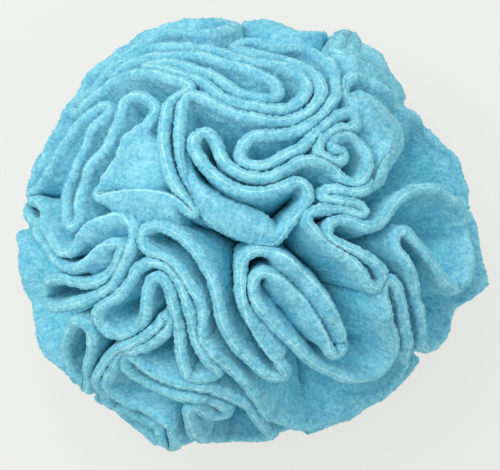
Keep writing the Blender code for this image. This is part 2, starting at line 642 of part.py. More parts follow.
def block(name, size, place):
    """A box of a given size, joined to another piece."""
    mesh = bmesh.new()
    bmesh.ops.create_cube(mesh, size=1.0)
    bmesh.ops.scale(mesh, vec=size, verts=mesh.verts)
    bmesh.ops.translate(mesh, vec=place, verts=mesh.verts)
    data = bpy.data.meshes.new(name)
    mesh.to_mesh(data)
    mesh.free()
    made = bpy.data.objects.new(name, data)
    found = bpy.data.collections.get("tie_cutters")
    if found is None:
        found = bpy.data.collections.new("tie_cutters")
        bpy.context.scene.collection.children.link(found)
    found.objects.link(made)
    made.hide_render = True
    made.display_type = "WIRE"
    return made


def cable_tie():
    """The tie that threads every disc's middle: a strap ring, its head and the cut tail."""
    mesh = bmesh.new()
    inner = TIE_RING_RADIUS - TIE_STRAP_THICKNESS / 2
    outer = TIE_RING_RADIUS + TIE_STRAP_THICKNESS / 2
    half = TIE_STRAP_WIDTH / 2
    corners = [(inner, -half), (outer, -half), (outer, half), (inner, half)]
    profile = [mesh.verts.new((x, 0.0, z)) for x, z in corners]
    edges = [mesh.edges.new((profile[i], profile[(i + 1) % 4])) for i in range(4)]
    bmesh.ops.spin(mesh, geom=profile + edges, cent=(0.0, 0.0, 0.0), axis=(0.0, 0.0, 1.0),
                   angle=2 * math.pi, steps=TIE_RING_STEPS, use_merge=True)
    bmesh.ops.recalc_face_normals(mesh, faces=mesh.faces)
    tie = mesh_object("cable_tie", mesh, plain_material("tie_nylon", TIE_COLOUR, TIE_ROUGHNESS))
    tie.location = (0.0, 0.0, CORE_HEIGHT)
    head_place = (inner + TIE_HEAD_HEIGHT / 2, 0.0, CORE_HEIGHT)
    head = block("tie_head", (TIE_HEAD_HEIGHT, TIE_HEAD_LENGTH, TIE_HEAD_WIDTH), head_place)
    bevel = head.modifiers.new("rounded_head", "BEVEL")
    bevel.width = TIE_FILLET
    bevel.segments = TIE_BEVEL_STEPS
    tail_length = TIE_HEAD_LENGTH / 2 + TIE_TAIL_LENGTH
    tail_place = (outer + TIE_STRAP_THICKNESS * TIE_TAIL_SEAT_SHARE, tail_length / 2, CORE_HEIGHT)
    tail = block("tie_tail", (TIE_STRAP_THICKNESS, tail_length, TIE_STRAP_WIDTH), tail_place)
    for piece in (head, tail):
        joined = tie.modifiers.new("with_" + piece.name, "BOOLEAN")
        joined.operation = "UNION"
        joined.object = piece
    return tie


def disc_rims():
    """Every disc's rim as a closed loop of unit directions, by name."""
    rims = {}
    for name, pixels in RIM_PIXELS.items():
        directions = from_pixels(pixels)
        rims[name] = anticlockwise(smooth_loop(directions))
        rims[name + "_under"] = anticlockwise(smooth_loop(twisted_mirror(directions)))
    neighbours = np.vstack(list(rims.values()))
    for name, belt in SIDE_BELTS.items():
        rims[name] = anticlockwise(smooth_loop(belt_loop(*belt, neighbours)))
    return rims


def fleece_discs():
    """All the gathered discs."""
    rims = disc_rims()
    names = list(rims)
    loops = list(rims.values())
    deep = relaxed(loops)
    tolerances = []
    for course in (loops, deep):
        inner, outer = room(course)
        tolerances.append([
            np.clip(np.minimum(left, right) * TOLERANCE_ROOM_SHARE, *THIN_TOLERANCE_SHARES)
            for left, right in zip(inner, outer)])
    choices = [corner_choice(courses, allowed)
               for courses, allowed in zip(zip(loops, deep), zip(*tolerances))]
    by_rim = space_beside(loops, choices)
    by_deep = space_beside(deep, choices)
    core_share = tie_share()
    for _ in range(CORE_ROUNDS):
        cores = [beside_loop(loop, chosen, -pair[1], core_share)
                 for loop, chosen, pair in zip(deep, choices, half_walls(by_deep, core_share))]
        core_share = tie_share() / cap_dip(cores) + CLEARANCE / TOP_REACH
    hub_share = 1 - FOLD_DEPTH / TOP_REACH
    walls = zip(half_walls(by_rim, 1.0), half_walls(by_deep, hub_share),
                half_walls(by_deep, core_share))
    for number, wall in enumerate(walls):
        colour_share = number * SHADE_STRIDE % SHADE_COUNT / (SHADE_COUNT - 1)
        fleece_disc("fleece_disc_" + names[number], loops[number], deep[number],
                    choices[number], wall, core_share, colour_share)


def stand_on_origin():
    """Move the pieces so that the middle of the ball's box stands over the origin."""
    bpy.context.view_layer.update()
    pieces = list(part_collection().objects)
    corners = np.array([piece.matrix_world @ Vector(corner)
                        for piece in pieces for corner in piece.bound_box])
    middle = (corners.min(axis=0) + corners.max(axis=0)) / 2
    for piece in list(bpy.data.objects):
        piece.location.x -= middle[0]
        piece.location.y -= middle[1]


def main():
    for old in list(bpy.data.objects):
        bpy.data.objects.remove(old, do_unlink=True)
    fleece_discs()
    cable_tie()
    stand_on_origin()


main()
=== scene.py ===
"""Snuffle ball: a dog toy of round sky blue fleece discs, gathered at their middles by one
cable tie, whose ruffled rims make a ball full of folds and pockets.

Each disc is one sheet of double-pile fleece. Its rim runs in a closed wavy loop over the ball,
its cut edge shows the light knitted ground between the two piles, and its cloth leans and
closes up with its neighbours as it runs in to the tie.
"""
import functools
import math

import bmesh
import bpy
import numpy as np
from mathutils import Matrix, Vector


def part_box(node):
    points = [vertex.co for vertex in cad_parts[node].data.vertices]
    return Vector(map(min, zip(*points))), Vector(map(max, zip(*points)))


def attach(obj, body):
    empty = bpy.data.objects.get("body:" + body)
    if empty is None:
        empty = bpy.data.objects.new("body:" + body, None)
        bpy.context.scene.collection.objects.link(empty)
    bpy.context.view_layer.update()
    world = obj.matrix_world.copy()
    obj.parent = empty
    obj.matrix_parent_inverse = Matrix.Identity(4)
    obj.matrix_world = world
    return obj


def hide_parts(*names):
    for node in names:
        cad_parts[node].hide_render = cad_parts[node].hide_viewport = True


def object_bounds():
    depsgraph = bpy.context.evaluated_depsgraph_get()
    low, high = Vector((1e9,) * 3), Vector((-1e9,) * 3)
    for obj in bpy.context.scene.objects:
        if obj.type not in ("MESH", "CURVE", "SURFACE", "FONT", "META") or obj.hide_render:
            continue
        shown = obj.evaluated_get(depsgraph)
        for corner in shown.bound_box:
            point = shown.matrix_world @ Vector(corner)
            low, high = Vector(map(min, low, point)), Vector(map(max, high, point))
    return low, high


bl_info = {
    "name": "Snuffle ball",
    "version": (1, 0, 0),
    "blender": (4, 5, 0),
    "location": "3D View > Sidebar > Snuffle ball",
    "description": "Dresses a ball of gathered fleece discs",
    "category": "Object",
}

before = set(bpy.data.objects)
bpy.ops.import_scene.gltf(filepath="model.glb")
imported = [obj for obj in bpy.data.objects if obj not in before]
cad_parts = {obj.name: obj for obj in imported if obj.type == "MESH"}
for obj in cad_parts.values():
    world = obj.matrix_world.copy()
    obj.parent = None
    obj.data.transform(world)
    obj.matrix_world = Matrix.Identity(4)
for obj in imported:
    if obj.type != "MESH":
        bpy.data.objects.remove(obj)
CAD_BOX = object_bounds()

# The ball as it was cut and tied, in metres: its length and width over the rims, how high its
# middle lies above the floor, and how far the rims reach up from there
BALL_LENGTH = 0.160
BALL_WIDTH = 0.150
CORE_HEIGHT = 0.068
TOP_REACH = 0.072
BALL_REACH = (BALL_LENGTH / 2, BALL_WIDTH / 2, TOP_REACH)
MEAN_REACH = sum(BALL_REACH) / len(BALL_REACH)

# How the photograph is read: its size and the ball's middle and half sizes in pixels, the
# camera's distance from the ball's middle as a share of the ball's reach upward, how steeply
# points go down beyond the ball's limb, in how many rounds a point's height is found, and the
# power by which the outline's bulges fade toward the top
PHOTO_SIZE = (500.0, 470.0)
BALL_MIDDLE_PIXELS = (252.0, 238.0)
BALL_HALF_PIXELS = (239.0, 224.0)
CAMERA_DISTANCE_SHARE = 13.0
OVER_LIMB_SHARE = 5.0
LIMB_ROUNDS = 6
BULGE_POWER = 3

# How the unseen half differs from a plain mirror image, in degrees
TWIST = 45.0
TWIST_LATITUDE = 70.0

# How loops are drawn: the samples on each stretch of a rim's curve, the step between a loop's
# points as a share of the ball's radius, the fewest points of a loop, and how many points a wall
# has for each of them
SPLINE_SAMPLES = 8
SPLINE_STEP_SHARE = 0.022
FEWEST_POINTS = 12
FINE_POINTS_PER_STEP = 3

# How the discs share the room deep in the ball: the rounds and the strength of their push, the
# widest room that counts, how the inner side pulls against the outer one, and how many times
# each push and each course is smoothed
RELAX_ROUNDS = 5
RELAX_SHARE = 0.8
RELAX_REACH_SHARE = 0.14
INNER_PULL_SHARE = 0.7
PUSH_SMOOTHING_ROUNDS = 3
COURSE_SMOOTHING_ROUNDS = 4

# How room is measured: the leans at which it is, the widest that counts, how much of it cloth
# fills, how many points are compared at once, and the length under which two points are one
LEAN_LEVEL_SHARES = (0.0, 0.25, 0.5, 0.75, 1.0)
WIDEST_ROOM_SHARE = 0.11
ROOM_SHARE = 0.9
ROWS_AT_ONCE = 1000
SAME_POINT = 1e-6

# The ball's outline in the photograph, as pixels round it
OUTLINE_PIXELS = [
    (182, 14), (160, 21), (140, 32), (120, 44), (103, 58), (87, 73), (68, 100), (52, 127),
    (33, 158), (23, 192), (14, 235), (14, 262), (20, 288), (29, 303), (29, 318), (32, 337),
    (45, 357), (62, 374), (78, 393), (92, 403), (112, 415), (126, 427), (143, 441), (160, 455),
    (176, 461), (196, 450), (230, 444), (262, 444), (300, 440), (340, 428), (375, 410),
    (400, 390), (417, 366), (440, 352), (453, 330), (461, 308), (480, 296), (491, 286),
    (487, 262), (480, 230), (474, 205), (466, 178), (449, 145), (428, 122), (410, 93),
    (396, 65), (380, 46), (362, 32), (348, 27), (337, 32), (300, 27), (265, 17), (232, 17),
    (206, 15)]

# The discs' rims that the photograph shows, as the pixels that each passes through
UPPER_ROSETTE_PIXELS = [
    (197, 208), (192, 196), (186, 182), (181, 168), (178, 150), (177, 130), (177, 112),
    (180, 99), (188, 92), (198, 93), (210, 98), (225, 105), (240, 111), (255, 115), (270, 117),
    (285, 116), (297, 113), (308, 108), (317, 101), (323, 91), (324, 80), (319, 70), (309, 62),
    (297, 57), (285, 53), (270, 50), (255, 47), (243, 45), (235, 42), (236, 37), (243, 34),
    (252, 33), (262, 35), (272, 39), (285, 41), (300, 42), (315, 46), (328, 54), (337, 64),
    (341, 75), (340, 86), (335, 97), (327, 107), (317, 116), (305, 123), (293, 128),
    (280, 130), (265, 131), (252, 133), (244, 139), (240, 147), (240, 155), (246, 162),
    (256, 164), (267, 163), (278, 158), (290, 151), (303, 144), (314, 135), (323, 126),
    (332, 118), (341, 111), (350, 109), (357, 113), (359, 120), (353, 125), (343, 125),
    (334, 129), (326, 135), (321, 142), (320, 150), (326, 156), (336, 159), (345, 156),
    (345, 151), (338, 148), (333, 143), (337, 136), (345, 132), (354, 131), (363, 136),
    (370, 145), (373, 156), (371, 168), (365, 178), (356, 181), (346, 175), (337, 167),
    (328, 161), (318, 158), (307, 157), (297, 160), (288, 166), (278, 171), (268, 175),
    (258, 175), (247, 173), (236, 169), (227, 163), (220, 154), (216, 143), (211, 134),
    (203, 129), (195, 133), (191, 141), (194, 150), (200, 160), (209, 169), (220, 178),
    (232, 185), (243, 189), (255, 191), (267, 190), (278, 187), (288, 183), (297, 180),
    (305, 182), (310, 189), (310, 197), (304, 206), (296, 216), (289, 225), (282, 234),
    (274, 242), (262, 242), (245, 236), (225, 228), (208, 219)]
UPPER_TONGUES_PIXELS = [
    (110, 70), (118, 61), (128, 53), (140, 47), (152, 43), (167, 41), (185, 41), (200, 42),
    (215, 45), (230, 50), (245, 54), (260, 57), (275, 59), (288, 62), (299, 67), (306, 74),
    (309, 82), (306, 91), (298, 98), (286, 103), (270, 104), (255, 102), (240, 98), (226, 93),
    (214, 87), (205, 80), (196, 74), (185, 70), (172, 67), (158, 65), (146, 63), (141, 61),
    (150, 58), (165, 57), (180, 59), (193, 62), (205, 66), (218, 74), (232, 83), (246, 90),
    (258, 94), (270, 94), (278, 90), (279, 82), (272, 74), (260, 68), (246, 63), (232, 59),
    (218, 55), (205, 52), (192, 50), (178, 49), (163, 49), (150, 50), (138, 54), (128, 59),
    (118, 66), (112, 72)]
LOWER_SWEEP_PIXELS = [
    (137, 237), (141, 247), (149, 253), (160, 259), (171, 266), (180, 276), (188, 289),
    (196, 301), (201, 314), (200, 329), (200, 343), (207, 351), (216, 361), (225, 369),
    (235, 377), (244, 386), (252, 397), (258, 407), (265, 419), (273, 427), (286, 431),
    (300, 433), (315, 432), (330, 428), (345, 423), (360, 416), (374, 408), (387, 398),
    (398, 388), (406, 377), (411, 364), (413, 350), (411, 335), (409, 320), (406, 305),
    (402, 290), (396, 282), (390, 284), (388, 293), (389, 305), (392, 319), (397, 331),
    (400, 343), (398, 356), (392, 368), (384, 377), (374, 382), (362, 384), (350, 382),
    (338, 378), (325, 372), (312, 364), (300, 353), (288, 341), (277, 330), (266, 318),
    (257, 307), (252, 296), (252, 286), (256, 277), (264, 273), (273, 277), (283, 285),
    (293, 294), (303, 304), (312, 317), (320, 331), (327, 344), (332, 354), (339, 359),
    (345, 353), (346, 342), (341, 328), (334, 314), (326, 301), (316, 289), (306, 279),
    (295, 268), (284, 259), (272, 253), (261, 250), (250, 253), (243, 261), (241, 273),
    (241, 288), (243, 303), (248, 318), (256, 333), (265, 347), (275, 360), (284, 371),
    (286, 379), (278, 381), (266, 378), (254, 369), (244, 359), (234, 348), (226, 335),
    (220, 321), (217, 307), (214, 292), (208, 276), (199, 260), (188, 246), (177, 235),
    (165, 228), (152, 226), (142, 229)]
LOWER_LEFT_LOOP_PIXELS = [
    (187, 381), (183, 371), (180, 361), (178, 350), (176, 338), (173, 324), (171, 310),
    (168, 297), (165, 286), (159, 279), (151, 279), (146, 286), (144, 297), (144, 309),
    (142, 320), (136, 329), (126, 335), (114, 338), (103, 336), (95, 328), (92, 318),
    (95, 309), (103, 303), (112, 298), (120, 290), (126, 281), (131, 272), (139, 266),
    (150, 263), (161, 265), (170, 272), (177, 283), (182, 296), (186, 310), (190, 325),
    (193, 340), (198, 352), (208, 365), (216, 375), (212, 381), (200, 383)]
LEFT_WAVE_PIXELS = [
    (29, 200), (34, 209), (38, 220), (42, 232), (46, 243), (52, 251), (59, 253), (66, 250),
    (71, 242), (75, 233), (82, 226), (92, 221), (103, 217), (113, 217), (122, 221), (128, 229),
    (129, 239), (125, 250), (120, 260), (115, 270), (110, 280), (103, 289), (94, 296),
    (82, 301), (70, 305), (57, 308), (46, 307), (41, 300), (40, 290), (44, 282), (53, 280),
    (64, 283), (76, 285), (88, 284), (99, 280), (107, 273), (112, 264), (116, 254), (117, 246),
    (110, 244), (101, 246), (93, 252), (85, 260), (76, 267), (66, 270), (57, 268), (50, 262),
    (44, 252), (38, 241), (32, 230), (26, 220), (22, 211), (22, 202)]
LOWER_LEFT_SWEEP_PIXELS = [
    (161, 322), (157, 328), (149, 334), (139, 341), (126, 348), (115, 354), (107, 360),
    (100, 369), (95, 378), (91, 386), (93, 394), (100, 403), (110, 411), (120, 417),
    (131, 422), (143, 428), (153, 433), (158, 440), (162, 449), (168, 454), (173, 449),
    (171, 439), (167, 430), (159, 423), (147, 418), (134, 412), (122, 406), (111, 398),
    (103, 389), (103, 380), (108, 372), (112, 366), (113, 361), (119, 356), (130, 353),
    (142, 349), (153, 343), (161, 335), (166, 327), (165, 321)]
RIGHT_WAVE_PIXELS = [
    (426, 345), (428, 330), (425, 313), (421, 297), (419, 283), (415, 271), (409, 262),
    (403, 253), (400, 243), (402, 233), (409, 231), (418, 241), (428, 253), (438, 266),
    (448, 278), (456, 288), (464, 292), (470, 284), (475, 268), (476, 250), (475, 235),
    (471, 220), (465, 206), (456, 196), (445, 189), (430, 186), (416, 189), (404, 197),
    (396, 207), (389, 217), (381, 223), (370, 226), (358, 222), (348, 218), (338, 219),
    (331, 226), (331, 236), (338, 243), (349, 248), (361, 253), (372, 259), (381, 266),
    (387, 275), (387, 284), (380, 290), (372, 284), (366, 274), (356, 262), (345, 253),
    (334, 246), (323, 237), (314, 228), (308, 220), (309, 213), (318, 209), (330, 208),
    (342, 208), (353, 210), (362, 214), (368, 211), (366, 205), (355, 201), (340, 199),
    (328, 195), (330, 188), (342, 187), (356, 190), (367, 188), (377, 181), (384, 170),
    (388, 159), (393, 148), (396, 139), (395, 130), (390, 124), (382, 115), (372, 105),
    (362, 96), (352, 88), (348, 80), (351, 74), (358, 71), (366, 73), (374, 77), (383, 83),
    (394, 90), (404, 98), (413, 107), (428, 122), (449, 145), (466, 178), (474, 205),
    (480, 230), (487, 262), (490, 283), (479, 296), (461, 308), (453, 330), (440, 350),
    (430, 353)]
UPPER_LEFT_FAN_PIXELS = [
    (234, 20), (222, 25), (210, 28), (198, 29), (185, 27), (172, 26), (160, 29),
    (150, 34), (140, 40), (130, 46), (120, 53), (110, 62), (102, 71), (93, 80), (84, 89),
    (75, 98), (68, 106), (71, 109), (81, 100), (95, 87), (104, 80), (112, 76), (122, 71),
    (135, 68), (150, 70), (165, 73), (180, 77), (188, 82), (187, 87), (180, 91), (172, 95),
    (166, 101), (163, 110), (161, 120), (161, 135), (162, 150), (165, 165), (171, 180),
    (180, 193), (189, 204), (191, 211), (185, 207), (177, 201), (166, 197), (154, 194),
    (140, 192), (126, 192), (112, 194), (100, 196), (94, 193), (96, 186), (101, 178),
    (107, 167), (114, 155), (120, 144), (127, 133), (135, 124), (143, 117), (150, 111),
    (152, 103), (147, 96), (138, 92), (128, 93), (122, 98), (118, 108), (115, 117),
    (109, 128), (103, 138), (97, 148), (91, 158), (85, 168), (79, 179), (75, 190), (73, 202),
    (73, 214), (70, 224), (65, 226), (61, 217), (61, 205), (62, 192), (65, 179), (69, 167),
    (74, 154), (80, 141), (87, 129), (94, 118), (101, 108), (103, 101), (95, 102), (86, 110),
    (77, 119), (68, 129), (60, 140), (52, 151), (44, 163), (36, 177), (28, 190), (23, 191),
    (26, 176), (33, 158), (52, 127), (68, 100), (87, 73), (103, 58), (120, 44), (140, 32),
    (160, 21), (182, 14), (206, 15), (228, 16)]
LOWER_RUFFLE_PIXELS = [
    (272, 441), (261, 430), (253, 419), (246, 410), (240, 407), (230, 403), (218, 398),
    (205, 393), (190, 390), (175, 388), (163, 384), (151, 378), (141, 371), (132, 364),
    (124, 359), (119, 363), (121, 372), (130, 381), (141, 388), (154, 393), (169, 398),
    (184, 401), (198, 404), (210, 408), (221, 412), (227, 417), (222, 422), (212, 422),
    (205, 418), (198, 413), (191, 412), (186, 417), (188, 427), (194, 438), (202, 446),
    (214, 446), (230, 444), (255, 444), (270, 443)]
LEFT_POCKET_PIXELS = [
    (80, 393), (76, 384), (70, 373), (64, 361), (60, 347), (62, 333), (70, 324), (78, 324),
    (84, 331), (87, 343), (86, 355), (84, 366), (83, 376), (84, 386), (84, 393)]
UPPER_RIGHT_FLAP_PIXELS = [
    (344, 27), (338, 33), (336, 42), (342, 49), (355, 53), (367, 58), (379, 64), (389, 73),
    (397, 83), (403, 92), (407, 94), (405, 86), (399, 76), (390, 64), (378, 49), (362, 35),
    (352, 28)]

RIM_PIXELS = {
    "upper_rosette": UPPER_ROSETTE_PIXELS,
    "upper_tongues": UPPER_TONGUES_PIXELS,
    "upper_left_fan": UPPER_LEFT_FAN_PIXELS,
    "upper_right_flap": UPPER_RIGHT_FLAP_PIXELS,
    "left_wave": LEFT_WAVE_PIXELS,
    "left_pocket": LEFT_POCKET_PIXELS,
    "right_wave": RIGHT_WAVE_PIXELS,
    "lower_sweep": LOWER_SWEEP_PIXELS,
    "lower_left_loop": LOWER_LEFT_LOOP_PIXELS,
    "lower_left_sweep": LOWER_LEFT_SWEEP_PIXELS,
    "lower_ruffle": LOWER_RUFFLE_PIXELS,
}

# Belts of long tongues on the ball's sides, of which the photograph shows only the outline:
# the middle and half width of each in degrees round the upright axis, its count of tongues,
# and the highest latitude that it reaches
SIDE_BELTS = {
    "far_side": (81.5, 9.0, 2, 5.0),
    "near_side": (-57.0, 17.0, 2, 2.0),
    "left_side": (200.0, 20.0, 2, 4.0),
    "near_left_side": (237.0, 8.0, 1, 4.0),
}

# How a belt's tongues run, in degrees where it isn't a share: the height of one as a share of
# their pitch, the step between its points and the fewest of them, how far the belt stays off
# its neighbours and how wide it looks for them, the width and the points of the spine that
# joins the tongues, and their waves: the height, the degrees that a radian takes, and the
# radians from one tongue to the next
TONGUE_HEIGHT_SHARE = 0.58
TONGUE_POINT_PITCH = 4.0
FEWEST_TONGUE_POINTS = 3
BELT_MARGIN = 4.5
BELT_WINDOW = 3.0
BELT_SPINE = 4.0
SPINE_RISE_SHARES = (0.95, 0.65, 0.35, 0.05)
BELT_WAVE = 1.6
BELT_WAVE_PITCH = 5.0
BELT_WAVE_SHIFT = 0.8

# Folds whose cloth lies down to one side instead of standing: the disc, the rim's pixels where
# the fold starts and ends, after any pixel ahead of them that isn't the rim's, for each pixel of
# this run the one where the cloth goes down among its neighbours, over how many of them it
# stands up again at each end, and how it lies: how low the fold hangs, how far along the cloth
# its crown is, how low the cloth has come where it goes down, and the power of its fall
LAID_FOLDS = [
    ("upper_rosette", ((310, 197), (177, 112)),
     [(303, 195), (300, 197), (297, 200), (292, 203), (286, 205), (279, 206), (268, 207),
      (252, 207), (233, 203), (218, 196), (208, 187), (202, 177), (195, 168), (189, 157),
      (184, 143), (182, 128), (182, 112)], (8.0, 7.0), (0.0025, 0.4, 0.007, 1.4)),
    ("upper_left_fan", ((150, 111), (94, 193)),
     [(154, 116), (154, 124), (155, 134), (156, 144), (157, 155), (156, 166), (150, 177),
      (138, 184), (118, 187), (104, 191)], (3.0, 2.0), (0.0, 0.05, 0.008, 1.1)),
    ("upper_left_fan", ((96, 194), (100, 196), (185, 207)),
     [(98, 204), (102, 208), (111, 213), (125, 218), (140, 221), (154, 222), (166, 222),
      (177, 220), (185, 216)], (1.5, 2.0), (0.0, 0.05, 0.007, 1.2)),
    ("lower_sweep", ((261, 250), (345, 353)),
     [(262, 265), (270, 266), (280, 272), (290, 281), (300, 291), (309, 302), (318, 315),
      (325, 328), (331, 341), (336, 350), (338, 355)], (2.0, 1.0), (0.0, 0.05, 0.009, 1.1)),
    ("lower_sweep", ((264, 273), (332, 354)),
     [(262, 284), (266, 292), (271, 302), (279, 312), (287, 322), (295, 332), (304, 343),
      (313, 352), (322, 358)], (1.5, 1.0), (0.0, 0.05, 0.015, 0.9)),
    ("lower_sweep", ((243, 303), (284, 371)),
     [(250, 306), (259, 318), (269, 331), (280, 344), (290, 354), (292, 363)], (1.5, 1.0),
     (0.0, 0.05, 0.008, 1.2)),
    ("left_wave", ((66, 250), (128, 229)),
     [(67, 260), (75, 257), (82, 251), (88, 246), (95, 241), (103, 238), (111, 237), (117, 238),
      (121, 240)], (2.0, 1.5), (0.0, 0.05, 0.013, 1.0)),
    ("left_wave", ((110, 244), (66, 270)),
     [(108, 258), (103, 265), (97, 271), (88, 276), (77, 278), (66, 276)], (1.5, 1.5),
     (0.0, 0.05, 0.011, 1.0)),
    ("right_wave", ((388, 159), (348, 80)),
     [(408, 164), (416, 152), (418, 138), (413, 124), (404, 112), (394, 102), (381, 93),
      (367, 84), (357, 80), (354, 77)], (4.0, 2.0), (0.0005, 0.1, 0.005, 1.4)),
    ("right_wave", ((367, 188), (390, 124)),
     [(372, 194), (385, 188), (393, 175), (397, 163), (402, 151), (406, 141), (408, 129),
      (404, 117)], (2.0, 4.0), (0.0005, 0.05, 0.006, 1.2)),
    ("right_wave", ((377, 181), (348, 80)),
     [(374, 178), (378, 169), (380, 161), (383, 153), (384, 147), (383, 141), (380, 135),
      (374, 126), (365, 116), (356, 107), (348, 99), (344, 90)], (3.0, 2.0),
     (0.0005, 0.05, 0.01, 1.4)),
    ("upper_right_flap", ((344, 27), (344, 27)),
     [(346, 41), (345, 42), (345, 43), (348, 45), (360, 49), (371, 56), (381, 63), (391, 72),
      (398, 81), (402, 87), (403, 88), (402, 85), (397, 77), (387, 67), (374, 57), (361, 48),
      (350, 43), (346, 41)], (0.0, 0.0), (0.0, 0.4, 0.003, 1.4)),
    ("upper_right_flap", ((336, 42), (403, 92)),
     [(338, 55), (346, 64), (357, 65), (367, 68), (378, 74), (387, 80), (395, 86), (401, 93)],
     (2.0, 2.0), (0.0005, 0.1, 0.006, 1.4)),
]

# How laid cloth runs: its length before it goes down, how much lower it goes down at the ends of
# a fold, how far its crest is rolled up, how much thinner cloth is that lies down on both
# sides, the depth at which it is as thick as elsewhere, and how near a rim lies to its fold
LAID_RUN = 0.013
LAID_END_FALL = 2.0
LAID_ROLL_SHARE = 0.7
RIDGE_THINNING = 0.6
RIDGE_DEPTH = 0.005
LAID_WINDOW = 0.02

# Where the cloth turns over, so that no cut edge shows: the shares of lying down between which
# the edge goes on a fold that hangs, how sharply it goes near a pixel, and these pixels, each
# with how far round it the edge is gone, in pixels
TURNED_LAID_SHARES = (0.75, 0.95)
TURNED_SHARPNESS = 2
TURNED_EDGES_PIXELS = [
    (352, 84, 16), (368, 98, 20), (382, 112, 20), (393, 130, 18), (390, 150, 16),
    (378, 62, 30), (350, 38, 22), (400, 92, 22), (430, 130, 28), (455, 165, 28),
    (472, 205, 24), (483, 245, 24), (486, 280, 20), (300, 30, 18), (270, 22, 18), (245, 18, 14)]

# The fleece wall from its cut edge inward: how the cut rounds off, in degrees, the depths of the
# rows below it, in fleece thicknesses, how far the cut swells and the wall fills the thickness,
# where the cloth starts and ends filling its room, in fleece thicknesses, and how far the rim's
# waves are sunk, so that none stands out
CUT_ROUND_ANGLES = (18.0, 38.0, 62.0, 90.0)
WALL_ROW_DEPTHS = (0.75, 1.0, 1.3, 1.65, 2.1, 2.65, 3.3, 4.1, 5.2, 6.6, 8.6, 12.3)
CUT_SWELL_SHARE = 1.06
WALL_SHARE = 0.94
FILL_DEPTHS = (2.6, 8.0)
WAVE_SINK_SHARE = 1.5

# Which way a wall's two sides lie from its middle: first to the rim's inner side, then out
SIDE_SIGNS = (1, -1)

# Soft unevenness: the count of its waves, between which shares of their mean they are closely
# set, the seed that sets them, and how many small lumps of pile a large one is long
LUMP_WAVES = 28
LUMP_SPREAD_SHARES = (0.7, 1.5)
LUMP_SEED = 11
LARGE_LUMP_PITCHES = 4

# The gathered middle: how finely its mesh is divided, its reach as a share of the rims', and
# the height and pitch of its pleats as shares of its own
MIDDLE_SUBDIVISIONS = 5
MIDDLE_SHARE = 0.50
PLEAT_HEIGHT_SHARE = 0.05
PLEAT_PITCH_SHARE = 0.35

# How the nap is coloured: where coarse and fine noise turn from the painted shade between the
# tufts to the lit tips and the coarse one's share in them, the depth at which the painted light
# in the pockets starts, and those between which the greyer pile beside the cut ends
COARSE_RANGE = (0.38, 0.66)
FINE_RANGE = (0.36, 0.66)
COARSE_SHARE = 0.4
POCKET_LIGHT_START = 0.003
GREYER_RIM_DEPTHS = (0.0012, 0.0042)

# How the knitted ground shows at the cut: from where to where it comes up, how much of it is
# stitches, how much shows between them and in the barest patches, and the height of the ground
# and of the ribs beside it, as shares of the tufts' height
CUT_RANGE = (0.3, 0.8)
STITCH_RANGE = (-0.8, 0.8)
STITCH_SHARE = 0.6
LEAST_STITCH_SHARE = 0.35
PATCH_RANGE = (0.34, 0.60)
LEAST_PATCH_SHARE = 0.35
GROUND_HEIGHT_SHARE = 0.15
RIB_HEIGHT_SHARE = 0.06

# The tie's roughness where it is clouded, and how much rougher it is where it is light
NYLON_ROUGHNESS = 0.32
NYLON_ROUGHNESS_SPREAD = 0.15

# The stage: the floor's half size and its gap under the ball, the sum of ray kinds that counts
# as seen, the colour of the light from all round, and the lamp's size and place
FLOOR_HALF = 3.0
FLOOR_GAP = 0.0005
SEEN_RAYS = 0.5
SKY_COLOUR = (0.97, 0.98, 1.0, 1.0)
SOFTBOX_SIZE = 0.9
SOFTBOX_PLACE = (-0.35, 0.45, 1.05)


def unit(vectors):
    """Rows scaled to length one."""
    return vectors / np.linalg.norm(vectors, axis=-1, keepdims=True)


def smooth_share(values):
    """Values clipped between 0 and 1, easing in and out."""
    share = np.clip(values, 0, 1)
    return share ** 2 * (3 - 2 * share)


def around(azimuth, latitude):
    """Unit directions from degrees round the upright axis and degrees of latitude."""
    turn = np.radians(azimuth)
    rise = np.radians(latitude)
    return np.stack([np.cos(turn) * np.cos(rise), np.sin(turn) * np.cos(rise), np.sin(rise)], -1)


def angles(directions):
    """Degrees round the upright axis and degrees of latitude of unit directions."""
    azimuth = np.degrees(np.arctan2(directions[:, 1], directions[:, 0]))
    return azimuth, np.degrees(np.arcsin(np.clip(directions[:, 2], -1, 1)))


def from_middle(pixels):
    """Places of pixels from the ball's middle, as shares of its half sizes, with +Y up."""
    return (np.array(pixels, float) - BALL_MIDDLE_PIXELS) * (1, -1) / BALL_HALF_PIXELS


def outline_share(azimuth):
    """How far the ball's outline lies out at an angle, as a share of the plain ellipse."""
    outline = from_middle(OUTLINE_PIXELS)
    turn = np.arctan2(outline[:, 1], outline[:, 0])
    order = np.argsort(turn)
    return np.interp(azimuth, turn[order], np.hypot(*outline.T)[order], period=2 * math.pi)


def envelope(directions):
    """How far the rims reach along unit directions, as a share of the plain ellipsoid."""
    bulge = outline_share(np.arctan2(directions[:, 1], directions[:, 0])) - 1
    level = np.hypot(directions[:, 0], directions[:, 1]) ** BULGE_POWER
    fall = np.maximum(-directions[:, 2], SAME_POINT)
    return np.minimum(1 + bulge * level, CORE_HEIGHT / TOP_REACH / fall)


